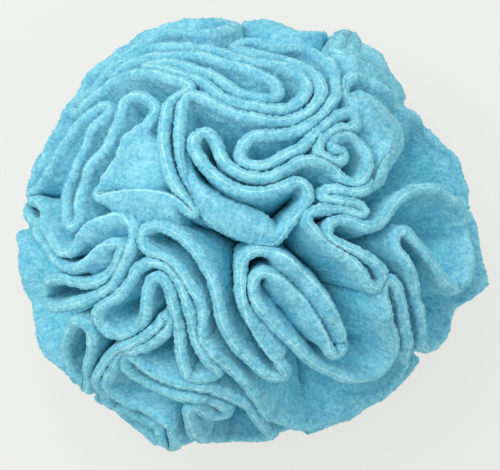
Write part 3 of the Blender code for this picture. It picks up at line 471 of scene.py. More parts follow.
def from_pixels(pixels):
    """Unit directions of the ball's points that pixels of the photograph show."""
    flat = from_middle(pixels)
    azimuth = np.arctan2(flat[:, 1], flat[:, 0])
    spread = np.hypot(*flat.T)
    bulge = outline_share(azimuth) - 1
    limb = CAMERA_DISTANCE_SHARE / math.sqrt(CAMERA_DISTANCE_SHARE ** 2 - 1)
    limb_rise = math.asin(1 / CAMERA_DISTANCE_SHARE)
    level = spread
    for _ in range(LIMB_ROUNDS):
        share = spread / (1 + bulge * np.minimum(level, 1) ** BULGE_POWER)
        inside = np.minimum(share, 1) * limb
        squares = inside ** 2 + CAMERA_DISTANCE_SHARE ** 2
        root = np.sqrt(np.maximum(
            CAMERA_DISTANCE_SHARE ** 4 - squares * (CAMERA_DISTANCE_SHARE ** 2 - 1), 0))
        along = (CAMERA_DISTANCE_SHARE ** 2 - root) / squares
        rise = np.arcsin(np.clip(CAMERA_DISTANCE_SHARE * (1 - along), -1, 1))
        rise = np.where(share > 1, limb_rise - (share - 1) * OVER_LIMB_SHARE, rise)
        level = np.cos(rise)
    return around(np.degrees(azimuth), np.degrees(rise))


def twisted_mirror(directions):
    """Directions mirrored to the unseen half and twisted about the upright axis."""
    azimuth, latitude = angles(directions)
    return around(azimuth + TWIST * smooth_share(latitude / TWIST_LATITUDE), -latitude)


def curve_points(values, samples):
    """Points on the smooth curve through a closed loop's values, so many for each stretch."""
    before = np.roll(values, 1, axis=0)
    after = np.roll(values, -1, axis=0)
    beyond = np.roll(values, -2, axis=0)
    share = np.arange(samples)[:, None, None] / samples
    curve = 0.5 * (2 * values + (after - before) * share
                   + (2 * before - 5 * values + 4 * after - beyond) * share ** 2
                   + (3 * values - before - 3 * after + beyond) * share ** 3)
    return curve.transpose(1, 0, 2).reshape(-1, values.shape[1])


def fine_points(values):
    """Values along a closed loop at the finer spacing of a wall."""
    return curve_points(values, FINE_POINTS_PER_STEP)


def smooth_loop(directions):
    """Evenly spaced points on the smooth closed curve through unit directions, with its inner
    side to the left."""
    curve = unit(curve_points(directions, SPLINE_SAMPLES))
    closed = np.vstack([curve, curve[:1]])
    length = np.concatenate([[0], np.cumsum(np.linalg.norm(np.diff(closed, axis=0), axis=1))])
    count = max(FEWEST_POINTS, round(length[-1] / SPLINE_STEP_SHARE))
    marks = np.arange(count) * length[-1] / count
    return anticlockwise(unit(np.stack([np.interp(marks, length, axis) for axis in closed.T], -1)))


def anticlockwise(loop):
    """The loop, turned so that its inner side lies to the left."""
    middle = unit(loop.mean(axis=0))
    side = unit(np.cross([0.0, 0.0, 1.0], middle))
    up = np.cross(middle, side)
    flat = np.stack([loop @ side, loop @ up], -1) / (1 + loop @ middle)[:, None]
    after = np.roll(flat, -1, axis=0)
    area = np.sum(flat[:, 0] * after[:, 1] - flat[:, 1] * after[:, 0])
    return loop if area > 0 else loop[::-1]


def belt_loop(middle, half_width, tongues, highest, neighbours):
    """The closed control points of long tongues that fill a belt of the ball's side."""
    azimuth, latitude = angles(neighbours)

    def limit(place, sign):
        """The latitude at which the belt stays off its neighbours above or below."""
        away = np.abs((azimuth - place + 180) % 360 - 180)
        near = (away < BELT_WINDOW) & (latitude * sign > 0)
        return sign * np.min(latitude[near] * sign) - sign * BELT_MARGIN

    def level(place, share):
        """The latitude at a share of the belt's height."""
        low = limit(place, -1)
        return low + (min(limit(place, 1), highest) - low) * share

    start = middle - half_width
    end = middle + half_width
    points = [(start, level(start, share)) for share in SPINE_RISE_SHARES]
    steps = round((end - start - BELT_SPINE) / TONGUE_POINT_PITCH)
    places = np.linspace(start + BELT_SPINE, end, max(FEWEST_TONGUE_POINTS, steps))
    pitch = 1 / (tongues - 1 + TONGUE_HEIGHT_SHARE)
    for tongue in range(tongues):
        low = tongue * pitch
        for share, run in ((low, places), (low + TONGUE_HEIGHT_SHARE * pitch, places[::-1])):
            for place in run:
                turn = (place - start) / BELT_WAVE_PITCH + tongue * BELT_WAVE_SHIFT
                points.append((place, level(place, share) + BELT_WAVE * math.sin(turn)))
    return around(*np.array(points).T)


def sides(loop):
    """Unit vectors along the ball's surface, square to the loop, to its inner side."""
    along = unit(np.roll(loop, -1, axis=0) - np.roll(loop, 1, axis=0))
    return unit(np.cross(loop, along))


def room(loops):
    """For each point of each loop, the radius of free space on its inner and outer side."""
    points = np.vstack(loops)
    across = np.vstack([sides(loop) for loop in loops])
    inner = np.empty(len(points))
    outer = np.empty(len(points))
    for first in range(0, len(points), ROWS_AT_ONCE):
        rows = slice(first, first + ROWS_AT_ONCE)
        lean = across[rows] @ points.T
        bend = lean / np.maximum(1 - points[rows] @ points.T, SAME_POINT)
        inner[rows] = 1 / np.maximum(bend.max(axis=1), SAME_POINT)
        outer[rows] = 1 / np.maximum(-bend.min(axis=1), SAME_POINT)
    cuts = np.cumsum([len(loop) for loop in loops])[:-1]
    return np.split(inner, cuts), np.split(outer, cuts)


def smoothed(values, rounds):
    """Values along a loop, each averaged with its neighbours."""
    for _ in range(rounds):
        values = (np.roll(values, 1, axis=0) + 2 * values + np.roll(values, -1, axis=0)) / 4
    return values


def relaxed(rims):
    """The loops as they run deep in the ball, where the folds share the room evenly."""
    loops = rims
    for _ in range(RELAX_ROUNDS):
        inner, outer = room(loops)
        moved = []
        for rim, loop, left, right in zip(rims, loops, inner, outer):
            left = np.minimum(left, RELAX_REACH_SHARE)
            right = np.minimum(right, RELAX_REACH_SHARE)
            push = smoothed((left * INNER_PULL_SHARE - right) * RELAX_SHARE / 2,
                            PUSH_SMOOTHING_ROUNDS)
            course = loop + sides(loop) * push[:, None]
            moved.append(unit(rim + smoothed(course - rim, COURSE_SMOOTHING_ROUNDS)))
        loops = moved
    return loops


def disc_rims():
    """Every disc's rim as a closed loop of unit directions, by name."""
    rims = {}
    for name, pixels in RIM_PIXELS.items():
        directions = from_pixels(pixels)
        rims[name] = smooth_loop(directions)
        rims[name + "_under"] = smooth_loop(twisted_mirror(directions))
    neighbours = np.vstack(list(rims.values()))
    for name, belt in SIDE_BELTS.items():
        rims[name] = smooth_loop(belt_loop(*belt, neighbours))
    return rims


def rim_run(pixels, first, last):
    """A rim's pixels from one to another the shorter way, or once round from one to itself."""
    start = pixels.index(first)
    turned = pixels[start:] + pixels[:start + 1]
    end = turned.index(last, 1)
    back = turned[:end - 1:-1]
    return back if 1 < len(back) <= end else turned[:end + 1]


def along_fold(rim, crest):
    """For each point of a rim, how many steps along a fold's crest it lies, and how far off."""
    steps = np.diff(crest, axis=0)
    reach = (rim[:, None] - crest[None, :-1]) * steps
    share = np.clip(reach.sum(axis=2) / (steps ** 2).sum(axis=1), 0, 1)
    away = np.linalg.norm(rim[:, None] - crest[:-1] - steps * share[..., None], axis=2)
    nearest = away.argmin(axis=1)
    rows = np.arange(len(rim))
    return nearest + share[rows, nearest], away[rows, nearest]


def lay_down(name, course):
    """Find the laid folds of a disc: for its inner and outer side, how far the cloth lies down,
    toward where, and how it lies there."""
    rim = course["rim"]
    laid = np.zeros((len(rim), 2))
    foot = np.zeros((len(rim), 2, 3))
    lie = np.zeros((len(rim), 2, 4))
    total = np.full((len(rim), 2, 1), SAME_POINT)
    for disc, ends, foot_pixels, fades, values in LAID_FOLDS:
        if disc != name:
            continue
        *ahead, first, last = ends
        crest = from_pixels(ahead + rim_run(RIM_PIXELS[name], first, last))
        place, away = along_fold(rim, crest)
        weight = (away < LAID_WINDOW).astype(float)
        for end, fade in zip((place, len(crest) - 1 - place), fades):
            if fade:
                weight *= smooth_share(end / fade)
        over = np.stack([np.interp(place, np.arange(len(crest)), axis)
                         for axis in from_pixels(foot_pixels).T], -1)
        inward = (sides(rim) * (over - rim)).sum(axis=1) @ weight > 0
        side = 0 if inward else 1
        laid[:, side] += weight
        foot[:, side] += over * weight[:, None]
        lie[:, side] += weight[:, None] * values
        total[:, side] += weight[:, None]
    plain = 1 - np.minimum(laid, 1)
    course["laid"] = 1 - plain
    course["foot"] = unit(foot + course["deep"][:, None] * plain[..., None])
    course["lie"] = lie / total


@functools.cache
def fleece_courses():
    """For each disc, its rim, its deep course and the room beside it as it leans over."""
    rims = disc_rims()
    loops = list(rims.values())
    deep = relaxed(loops)
    courses = {name: {"rim": unit(fine_points(rim)), "deep": unit(fine_points(low)), "room": []}
               for name, rim, low in zip(rims, loops, deep)}
    for lean in LEAN_LEVEL_SHARES:
        inner, outer = room([unit(rim + (low - rim) * lean) for rim, low in zip(loops, deep)])
        for name, left, right in zip(rims, inner, outer):
            both = np.minimum(np.stack([left, right], -1), WIDEST_ROOM_SHARE)
            courses[name]["room"].append(np.maximum(fine_points(both), SAME_POINT))
    for name, course in courses.items():
        lay_down(name, course)
    return courses


def lumps(points, pitch, seed):
    """Smooth soft unevenness, mostly between -1 and 1, that repeats at about a pitch."""
    chance = np.random.default_rng(seed)
    waves = unit(chance.normal(size=(LUMP_WAVES, 3))) * 2 * math.pi / pitch
    waves = waves * chance.uniform(*LUMP_SPREAD_SHARES, size=(LUMP_WAVES, 1))
    shift = chance.uniform(0, 2 * math.pi, size=LUMP_WAVES)
    total = np.zeros(len(points))
    for wave, start in zip(waves, shift):
        total += np.sin(points @ wave + start)
    return total / math.sqrt(LUMP_WAVES)


def ball_middle():
    """The middle of the tied ball, as the tie's strap ring shows it."""
    low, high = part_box("cable_tie")
    half = (high[1] - low[1]) / 2
    return np.array([low[0] + half, low[1] + half, (low[2] + high[2]) / 2])


def placed(directions, depth_share):
    """Points of the ball at shares of the reach along unit directions."""
    share = envelope(directions) * depth_share
    return directions * share[:, None] * BALL_REACH + ball_middle()


def depth_in_ball(points):
    """How deep points lie below the rims' reach, in metres."""
    shares = (points - ball_middle()) / BALL_REACH
    spread = np.linalg.norm(shares, axis=1)
    return (1 - spread / envelope(shares / spread[:, None])) * TOP_REACH


def wall_rows(sizes):
    """The depth of each row of a wall below the cut edge, and its half thickness."""
    half = sizes.fleece_thickness / 2
    rows = [(half * (1 - math.cos(math.radians(angle))),
             half * CUT_SWELL_SHARE * math.sin(math.radians(angle)))
            for angle in CUT_ROUND_ANGLES]
    return rows + [(depth * sizes.fleece_thickness, half * WALL_SHARE)
                   for depth in WALL_ROW_DEPTHS]


def room_at(course, lean):
    """The room beside a disc's wall where it has leaned over so far."""
    level = lean * (len(LEAN_LEVEL_SHARES) - 1)
    low = min(int(level), len(LEAN_LEVEL_SHARES) - 2)
    return course["room"][low] * (low + 1 - level) + course["room"][low + 1] * (level - low)


def laid_centre(course, side, down, rim_share, half):
    """The middle of the cloth of a laid fold at a depth along the cloth, so far down that its
    upper face is level with the rims."""
    share = min(1.0, down / LAID_RUN)
    hang, crown, foot_drop, power = course["lie"][:, side].T
    crown = np.maximum(crown, SAME_POINT)
    rise = np.maximum(1 - share / crown, 0)
    past = np.maximum(share - crown, 0) / (1 - crown)
    foot_drop = foot_drop * (1 + LAID_END_FALL * (1 - course["laid"][:, side]))
    drop = half + hang * rise ** 2 + foot_drop * past ** power
    drop += max(0.0, down - LAID_RUN)
    lean = math.sin(share * math.pi / 2)
    middle = unit(course["rim"] + (course["foot"][:, side] - course["rim"]) * lean)
    return placed(middle, rim_share * (1 - drop / TOP_REACH))


def standing_row(course, sizes, row, thinnest, share):
    """Both sides of a standing wall at a row's depth and half thickness: it is as thick as the
    cloth where there is room, and fills its room further down."""
    down, thickness = row
    lean = min(1.0, down / sizes.lean_depth)
    middle = unit(course["rim"] + (course["deep"] - course["rim"]) * lean)
    beside = room_at(course, lean) * ROOM_SHARE * share[:, None]
    half = np.maximum(thickness, thinnest)[:, None] / MEAN_REACH
    half = np.minimum(half, beside)
    start, end = np.array(FILL_DEPTHS) * sizes.fleece_thickness
    half = half + (beside - half) * smooth_share((down - start) / (end - start))
    inward = sides(middle)
    moved = [middle * share[:, None] + inward * (sign * half[:, side])[:, None]
             for side, sign in enumerate(SIDE_SIGNS)]
    return [placed(unit(points), share) for points in moved]


def lying_rows(course, side, depths, rim_share, halves):
    """One side of a laid fold: its rows of points at depths and half thicknesses."""
    centres = np.array([laid_centre(course, side, down, rim_share, half)
                        for down, half in zip(depths, halves)])
    along = np.roll(centres, -1, axis=1) - np.roll(centres, 1, axis=1)
    square = unit(np.cross(along, np.gradient(centres, axis=0))) * SIDE_SIGNS[side]
    return [centre + across * half[:, None]
            for centre, across, half in zip(centres, square, halves)]


def fleece_wall(course, sizes):
    """The rows of points of one disc's wall, from its outer foot over the cut edge to its inner
    foot."""
    rim = course["rim"]
    wave = lumps(rim * MEAN_REACH, sizes.rim_wave_length, LUMP_SEED) * sizes.rim_wave
    rim_share = 1 - (sizes.rim_wave * WAVE_SINK_SHARE + wave) / TOP_REACH
    most_laid = course["laid"].max(axis=1)
    full = sizes.fleece_thickness / 2 * WALL_SHARE
    crown = full * (1 - RIDGE_THINNING * course["laid"].min(axis=1))
    hang = (course["lie"][:, :, 0] * course["laid"]).max(axis=1) + crown * most_laid
    rows = wall_rows(sizes)
    depths = [down for down, _ in rows]
    walls = list(zip(*[standing_row(course, sizes, row, crown * most_laid,
                                    rim_share * (1 - (row[0] + hang) / TOP_REACH))
                       for row in rows]))
    halves = [crown + (full - crown) * smooth_share(down / RIDGE_DEPTH) for down in depths]
    for side, standing in enumerate(walls):
        laid = course["laid"][:, side, None]
        if laid.any():
            lying = lying_rows(course, side, depths, rim_share, halves)
            walls[side] = [up + (flat - up) * laid for up, flat in zip(standing, lying)]
    lift = crown * LAID_ROLL_SHARE * most_laid
    tilt = (course["laid"][:, 1] - course["laid"][:, 0]) * lift / MEAN_REACH
    drop = hang + sizes.edge_dip * (1 - most_laid) - lift
    crest = placed(unit(rim + sides(rim) * tilt[:, None]), rim_share * (1 - drop / TOP_REACH))
    inner, outer = walls
    return [*outer[::-1], crest, *inner]


def cut_shown(course):
    """How far the cut edge shows along a disc's rim: 0 where the cloth turns over there."""
    low, high = TURNED_LAID_SHARES
    turned = (course["laid"] * (course["lie"][..., 0] > 0)).max(axis=1)
    shown = 1 - smooth_share((turned - low) / (high - low))
    for across, down, reach in TURNED_EDGES_PIXELS:
        away = np.linalg.norm(course["rim"] - from_pixels([(across, down)]), axis=1)
        away = away / (reach / BALL_HALF_PIXELS[0])
        shown *= 1 - smooth_share((1 - away) * TURNED_SHARPNESS)
    return shown


def band_mesh(name, rows):
    """A closed mesh from rows of points that all run the same closed way."""
    count = len(rows[0])
    here = np.arange(count)
    after = (here + 1) % count
    faces = []
    for row in range(len(rows)):
        beside = (row + 1) % len(rows)
        faces.append(np.stack([row * count + here, row * count + after,
                               beside * count + after, beside * count + here], -1))
    mesh = bpy.data.meshes.new(name)
    mesh.from_pydata(np.vstack(rows).tolist(), [], np.vstack(faces).tolist())
    mesh.shade_smooth()
    return mesh


def lay_pile(mesh, sizes):
    """Push a mesh's points out and in a little, as the soft pile lies."""
    points = np.empty(len(mesh.vertices) * 3)
    normals = np.empty(len(mesh.vertices) * 3)
    mesh.vertices.foreach_get("co", points)
    mesh.vertex_normals.foreach_get("vector", normals)
    points = points.reshape(-1, 3)
    small = lumps(points, sizes.pile_pitch, LUMP_SEED) * sizes.pile_lumps
    large = lumps(points, sizes.pile_pitch * LARGE_LUMP_PITCHES, LUMP_SEED + 1) * sizes.pile_lumps
    push = small + large
    push = push + np.random.default_rng(LUMP_SEED).normal(size=len(points)) * sizes.pile_fuzz
    points = points + normals.reshape(-1, 3) * push[:, None]
    mesh.vertices.foreach_set("co", points.ravel())
    mesh.update()


def add_object(name, data):
    """Put data in the scene as an object."""
    added = bpy.data.objects.new(name, data)
    bpy.context.scene.collection.objects.link(added)
    return added


def add_piece(mesh, material):
    """Put a fleece mesh in the scene as a piece that rides on the ball."""
    mesh.materials.append(material)
    piece = add_object(mesh.name, mesh)
    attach(piece, "root")
    return piece


def gathered_disc(name, course, sizes, material):
    """One fleece disc as it stands gathered: its wall, cut edge and piles."""
    rows = fleece_wall(course, sizes)
    crest = len(rows) // 2
    mesh = band_mesh("gathered_" + name, rows)
    lay_pile(mesh, sizes)
    cut = np.zeros((len(rows), len(rows[0])))
    cut[crest] = cut_shown(course)
    steps = np.linalg.norm(np.roll(rows[crest], -1, axis=0) - rows[crest], axis=1)
    along = np.tile(np.concatenate([[0], np.cumsum(steps)[:-1]]), (len(rows), 1))
    depth = depth_in_ball(np.vstack(rows))
    for label, values in (("cut_edge", cut), ("along_rim", along), ("fold_depth", depth)):
        mesh.attributes.new(label, "FLOAT", "POINT").data.foreach_set("value", values.ravel())
    piece = add_piece(mesh, material)
    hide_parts("fleece_disc_" + name)


class Shade:
    """A shader socket to reckon with: arithmetic on it adds the Math nodes."""

    def __init__(self, tree, socket):
        self.tree = tree
        self.socket = socket

    def reckon(self, operation, *values):
        """A Math node of an operation on values or other shades."""
        return add_node(self.tree, "ShaderNodeMath", {"operation": operation},
                        dict(zip(("Value", "Value_001"), values)))["Value"]

    def __add__(self, other):
        return self.reckon("ADD", self, other)

    def __radd__(self, other):
        return self.reckon("ADD", other, self)

    def __sub__(self, other):
        return self.reckon("SUBTRACT", self, other)

    def __rsub__(self, other):
        return self.reckon("SUBTRACT", other, self)

    def __mul__(self, other):
        return self.reckon("MULTIPLY", self, other)

    def __rmul__(self, other):
        return self.reckon("MULTIPLY", other, self)

    def between(self, low, high):
        """How far the value has come from one number to another, from 0 to 1, smoothly."""
        return add_node(self.tree, "ShaderNodeMapRange", {"interpolation_type": "SMOOTHSTEP"},
                        {"Value": self, "From Min": low, "From Max": high})["Result"]

    def feed(self, shader, name):
        """Link it to a shader's socket."""
        self.tree.links.new(self.socket, shader.inputs[name])


def add_node(tree, kind, settings=None, values=None):
    """Add a node, set it up and feed its sockets, named by their identifiers; its outputs come
    back as shades by theirs."""
    node = tree.nodes.new(kind)
    for name, value in (settings or {}).items():
        setattr(node, name, value)
    inputs = {socket.identifier: socket for socket in node.inputs}
    for name, value in (values or {}).items():
        if isinstance(value, Shade):
            tree.links.new(value.socket, inputs[name])
        else:
            inputs[name].default_value = value
    return {socket.identifier: Shade(tree, socket) for socket in node.outputs}


def blend_colours(tree, share, first, second):
    """A colour between two colours."""
    return add_node(tree, "ShaderNodeMix", {"data_type": "RGBA"}, {
        "Factor_Float": share, "A_Color": first, "B_Color": second})["Result_Color"]


def noise(tree, pitch, detail, roughness=0.5):
    """Noise in the ball's own space that repeats at about a pitch."""
    place = add_node(tree, "ShaderNodeTexCoord")["Object"]
    return add_node(tree, "ShaderNodeTexNoise", values={
        "Vector": place, "Scale": 1 / pitch, "Detail": detail, "Roughness": roughness})["Fac"]


def attribute(tree, name):
    """A mesh's value of a name."""
    return add_node(tree, "ShaderNodeAttribute", {"attribute_name": name})["Fac"]


def new_material(name, settings):
    """A Principled material with plain settings; its tree and shader node come with it."""
    material = bpy.data.materials.new(name)
    material.use_nodes = True
    shader = material.node_tree.nodes["Principled BSDF"]
    for label, value in settings.items():
        shader.inputs[label].default_value = value
    return material, material.node_tree, shader


def fleece_material(look):
    """Double-pile fleece: mottled sky blue nap with painted tuft shade and pocket light, and light
    stitches of ground at the cut edge.
    """
    material, tree, shader = new_material("sky_blue_fleece", {
        "Roughness": 1.0, "Specular IOR Level": 0.08, "Sheen Weight": look.sheen,
        "Sheen Roughness": 0.5, "Sheen Tint": (0.45, 0.85, 1.0, 1.0),
        "Subsurface Weight": look.glow, "Subsurface Scale": look.glow_depth,
        "Subsurface Radius": (0.35, 0.9, 1.0)})
    coarse = noise(tree, look.mottle_pitch, detail=3.0, roughness=0.6)
    fine = noise(tree, look.nap_pitch, detail=3.0, roughness=0.7)
    painted_shade_mottle = (coarse.between(*COARSE_RANGE) * COARSE_SHARE
              + fine.between(*FINE_RANGE) * (1 - COARSE_SHARE))
    # Painted light: deep in the folds the nap turns a brighter, more saturated cyan, standing in
    # for light that bounces in the folds and passes through the cloth
    depth = attribute(tree, "fold_depth")
    inside = depth.between(POCKET_LIGHT_START, look.pocket_light_depth) * look.pocket_light_share
    tips = blend_colours(tree, inside, look.light_colour, look.pocket_light_colour)
    # The pile along the cut edges is darker and greyer, fading out below them
    greyer = (1 - depth.between(*GREYER_RIM_DEPTHS)) * look.rim_share
    tips = blend_colours(tree, greyer, tips, look.rim_colour)
    # Painted shade: a darker copy of the nap stands in for the shade between its tufts, and the
    # noise mixes it in
    shaded_nap = add_node(tree, "ShaderNodeVectorMath", {"operation": "MULTIPLY"},
                     {"Vector": tips, "Vector_001": look.painted_tuft_shade})["Vector"]
    nap = blend_colours(tree, painted_shade_mottle, shaded_nap, tips)
    along = attribute(tree, "along_rim")
    stitch = along.reckon("SINE", along * (2 * math.pi / look.stitch_pitch))
    stitches = stitch.between(*STITCH_RANGE) * STITCH_SHARE + LEAST_STITCH_SHARE
    patches = coarse.between(*PATCH_RANGE) * (1 - LEAST_PATCH_SHARE) + LEAST_PATCH_SHARE
    ground = attribute(tree, "cut_edge").between(*CUT_RANGE) * stitches * patches
    blend_colours(tree, ground, nap, look.ground_colour).feed(shader, "Base Color")
    tufts = fine * (1 - COARSE_SHARE) + coarse * COARSE_SHARE
    height = tufts + ground * GROUND_HEIGHT_SHARE + stitch * greyer * RIB_HEIGHT_SHARE
    add_node(tree, "ShaderNodeBump", values={
        "Height": height, "Strength": look.nap_strength,
        "Distance": look.nap_height})["Normal"].feed(shader, "Normal")
    return material


def nylon_material(look):
    """Pale nylon of the cable tie, faintly clouded."""
    material, tree, shader = new_material("tie_nylon", {"Specular IOR Level": 0.5})
    cloud = noise(tree, look.mottle_pitch, detail=2.0)
    blend_colours(tree, cloud, look.nylon_dark, look.nylon_light).feed(shader, "Base Color")
    (cloud * NYLON_ROUGHNESS_SPREAD + NYLON_ROUGHNESS).feed(shader, "Roughness")
    return material


def floor_material(look):
    """Plain pale paper, seen evenly bright with only a trace of the ball's shadow."""
    material, tree, shader = new_material("floor_paper", {
        "Base Color": look.floor_colour, "Roughness": 0.9, "Specular IOR Level": 0.1})
    rays = add_node(tree, "ShaderNodeLightPath")
    seen = rays["Is Camera Ray"] + rays["Is Glossy Ray"] + rays["Is Transmission Ray"]
    plain = add_node(tree, "ShaderNodeEmission", values={"Color": look.floor_colour})
    both = add_node(tree, "ShaderNodeMixShader", values={
        "Fac": seen.between(0.0, SEEN_RAYS) * look.floor_evenness,
        "Shader": Shade(tree, shader.outputs["BSDF"]), "Shader_001": plain["Emission"]})
    tree.links.new(both["Shader"].socket, tree.nodes["Material Output"].inputs["Surface"])
    return material


def length_setting(name, description, default, least=0.0):
    """A length in metres that a user may change."""
    return bpy.props.FloatProperty(name=name, description=description, default=default,
                                   min=least, unit="LENGTH")


def share_setting(name, description, default):
    """A share from 0 to 1 that a user may change."""
    return bpy.props.FloatProperty(name=name, description=description, default=default,
                                   min=0.0, max=1.0, subtype="FACTOR")


def colour_setting(name, description, default):
    """A colour that a user may change."""
    return bpy.props.FloatVectorProperty(name=name, description=description, default=default,
                                         size=len(default), subtype="COLOR", min=0.0, max=1.0)


class SnuffleBallSizes(bpy.types.PropertyGroup):
    """The fleece's own sizes."""
    fleece_thickness: length_setting(
        "Fleece thickness", "Ground and both piles of the fleece", 0.0039, 0.001)
    cloth_depth: length_setting(
        "Cloth depth", "How far in from the rim the cloth is modelled", 0.048, 0.01)
    lean_depth: length_setting(
        "Lean depth", "Depth at which the folds have closed up", 0.022, 0.005)
    edge_dip: length_setting(
        "Edge dip", "How far the knitted ground lies below the piles at the cut", 0.0004)
    rim_wave: length_setting(
        "Rim wave", "How unevenly the cut edge stands up", 0.0006)
    rim_wave_length: length_setting(
        "Rim wave length", "Length of one rise and fall of the cut edge", 0.016, 0.001)
    pile_lumps: length_setting(
        "Pile lumps", "Height of the soft unevenness of the pile", 0.00011)
    pile_fuzz: length_setting(
        "Pile fuzz", "How far single tufts stand out of the pile", 0.00014)
    pile_pitch: length_setting(
        "Pile pitch", "Size of one soft lump of the pile", 0.0014, 0.0005)


class SnuffleBallLook(bpy.types.PropertyGroup):
    """The finish of the fleece and the tie, and the stage's colour and light."""
    # The nap's own colour at its tufts' tips, which the painted tuft shade and pocket light change
    light_colour: colour_setting(
        "Nap, light", "The nap where its fibres stand toward the light", (0.37, 0.78, 0.88, 1.0))
    # Painted shade: how much darker the nap is painted between its tufts, where shade falls
    painted_tuft_shade: colour_setting(
        "Tuft shade", "The share of the nap's colour left between its tufts", (0.36, 0.62, 0.73))
    # Painted light: stands in for light that bounces in the folds and passes through the cloth
    pocket_light_colour: colour_setting(
        "Pocket colour", "The nap down in the folds, lit through the cloth",
        (0.33, 0.88, 0.98, 1.0))
    pocket_light_share: share_setting(
        "Pocket share", "How much of the pocket colour shows", 0.8)
    pocket_light_depth: length_setting(
        "Pocket depth", "Depth at which the pocket colour is reached", 0.011, 0.001)
    # Darker, greyer pile along the cut edges
    rim_colour: colour_setting(
        "Rim colour", "The rubbed pile along the cut edges", (0.28, 0.65, 0.74, 1.0))
    rim_share: share_setting(
        "Rim share", "How much of the rim colour shows", 0.55)
    ground_colour: colour_setting(
        "Cut ground", "The knitted ground that shows along the cut edge", (0.50, 0.95, 1.0, 1.0))
    sheen: share_setting(
        "Sheen", "Soft light in the tips of the pile", 0.08)
    glow: share_setting(
        "Glow", "How much light passes through the pile", 0.3)
    glow_depth: length_setting(
        "Glow depth", "How far light passes through the pile", 0.003)
    mottle_pitch: length_setting(
        "Mottle pitch", "Size of the nap's darker and lighter patches", 0.0045, 0.0005)
    nap_pitch: length_setting(
        "Nap pitch", "Size of the nap's tufts", 0.0012, 0.0002)
    nap_height: length_setting(
        "Nap height", "Height of the nap's tufts", 0.0009)
    nap_strength: share_setting(
        "Nap strength", "How strongly the tufts show", 0.9)
    stitch_pitch: length_setting(
        "Stitch pitch", "Distance between loops of the knitted ground", 0.0008, 0.0002)
    nylon_light: colour_setting(
        "Nylon, light", "The tie's pale nylon", (0.84, 0.84, 0.81, 1.0))
    nylon_dark: colour_setting(
        "Nylon, clouded", "The tie's nylon where it is clouded", (0.72, 0.72, 0.69, 1.0))
    floor_colour: colour_setting(
        "Floor", "The plain pale floor", (0.845, 0.850, 0.815, 1.0))
    floor_evenness: share_setting(
        "Floor evenness", "How much of the ball's shadow the floor hides", 0.78)
    sky_strength: bpy.props.FloatProperty(
        name="Sky strength", description="Even light from all round", default=0.79, min=0.0)
    softbox_strength: bpy.props.FloatProperty(
        name="Softbox strength", description="Power of the large lamp overhead",
        default=8.0, min=0.0, unit="POWER")


def add_floor(look):
    """The wide pale floor under the ball."""
    mesh = bpy.data.meshes.new("floor")
    corners = [(-1, -1), (1, -1), (1, 1), (-1, 1)]
    mesh.from_pydata([(x * FLOOR_HALF, y * FLOOR_HALF, 0) for x, y in corners], [],
                     [(0, 1, 2, 3)])
    mesh.materials.append(floor_material(look))
    floor = add_object("floor", mesh)
    floor.location.z = CAD_BOX[0][2] - FLOOR_GAP


def add_light(look):
    """Even light from all round, and a large lamp above that is aimed at the ball."""
    world = bpy.data.worlds.new("studio")
    world.use_nodes = True
    sky = world.node_tree.nodes["Background"]
    sky.inputs["Color"].default_value = SKY_COLOUR
    sky.inputs["Strength"].default_value = look.sky_strength
    bpy.context.scene.world = world
    lamp = bpy.data.lights.new("softbox", "AREA")
    lamp.size = SOFTBOX_SIZE
    lamp.energy = look.softbox_strength
    box = add_object("softbox", lamp)
    box.location = SOFTBOX_PLACE
    aim = ball_middle() - np.array(box.location)
    turn = math.atan2(aim[1], aim[0])
    box.rotation_euler = (0.0, math.acos(-aim[2] / np.linalg.norm(aim)), turn + math.pi)


def add_camera():
    """The camera straight above the ball, so far off that it sees it as the photograph does."""
    distance = CAMERA_DISTANCE_SHARE * TOP_REACH
    limb = 1 / math.sqrt(CAMERA_DISTANCE_SHARE ** 2 - 1) * BALL_LENGTH / 2 / TOP_REACH
    pixels_per_tangent = BALL_HALF_PIXELS[0] / limb
    camera = bpy.data.cameras.new("photo_camera")
    camera.sensor_fit = "HORIZONTAL"
    camera.lens = camera.sensor_width * pixels_per_tangent / PHOTO_SIZE[0]
    off = (np.array(BALL_MIDDLE_PIXELS) - np.array(PHOTO_SIZE) / 2) / pixels_per_tangent
    eye = add_object("photo_camera", camera)
    eye.location = ball_middle() + np.array([-off[0], off[1], 1.0]) * distance
    bpy.context.scene.camera = eye


class FleeceDiscs:
    """Shared by the operators that make gathered discs."""
    bl_options = {"REGISTER", "UNDO"}

    def wanted(self, name):
        """Whether this operator makes the disc of that name."""
        raise NotImplementedError

    def execute(self, context):
        material = bpy.data.materials.get("sky_blue_fleece")
        if material is None:
            material = fleece_material(context.scene.snuffle_ball_look)
        for name, course in fleece_courses().items():
            if self.wanted(name):
                gathered_disc(name, course, context.scene.snuffle_ball_sizes, material)
        return {"FINISHED"}


class SNUFFLE_BALL_OT_upper_discs(FleeceDiscs, bpy.types.Operator):
    """Make the fleece discs whose rims show from above"""
    bl_idname = "snuffle_ball.upper_discs"
    bl_label = "Upper discs"

    def wanted(self, name):
        return name in RIM_PIXELS


class SNUFFLE_BALL_OT_under_discs(FleeceDiscs, bpy.types.Operator):
    """Make the fleece discs of the ball's underside"""
    bl_idname = "snuffle_ball.under_discs"
    bl_label = "Under discs"

    def wanted(self, name):
        return name.endswith("_under")


class SNUFFLE_BALL_OT_side_belts(FleeceDiscs, bpy.types.Operator):
    """Make the fleece discs whose tongues fill the belts on the ball's sides"""
    bl_idname = "snuffle_ball.side_belts"
    bl_label = "Side belts"

    def wanted(self, name):
        return name in SIDE_BELTS


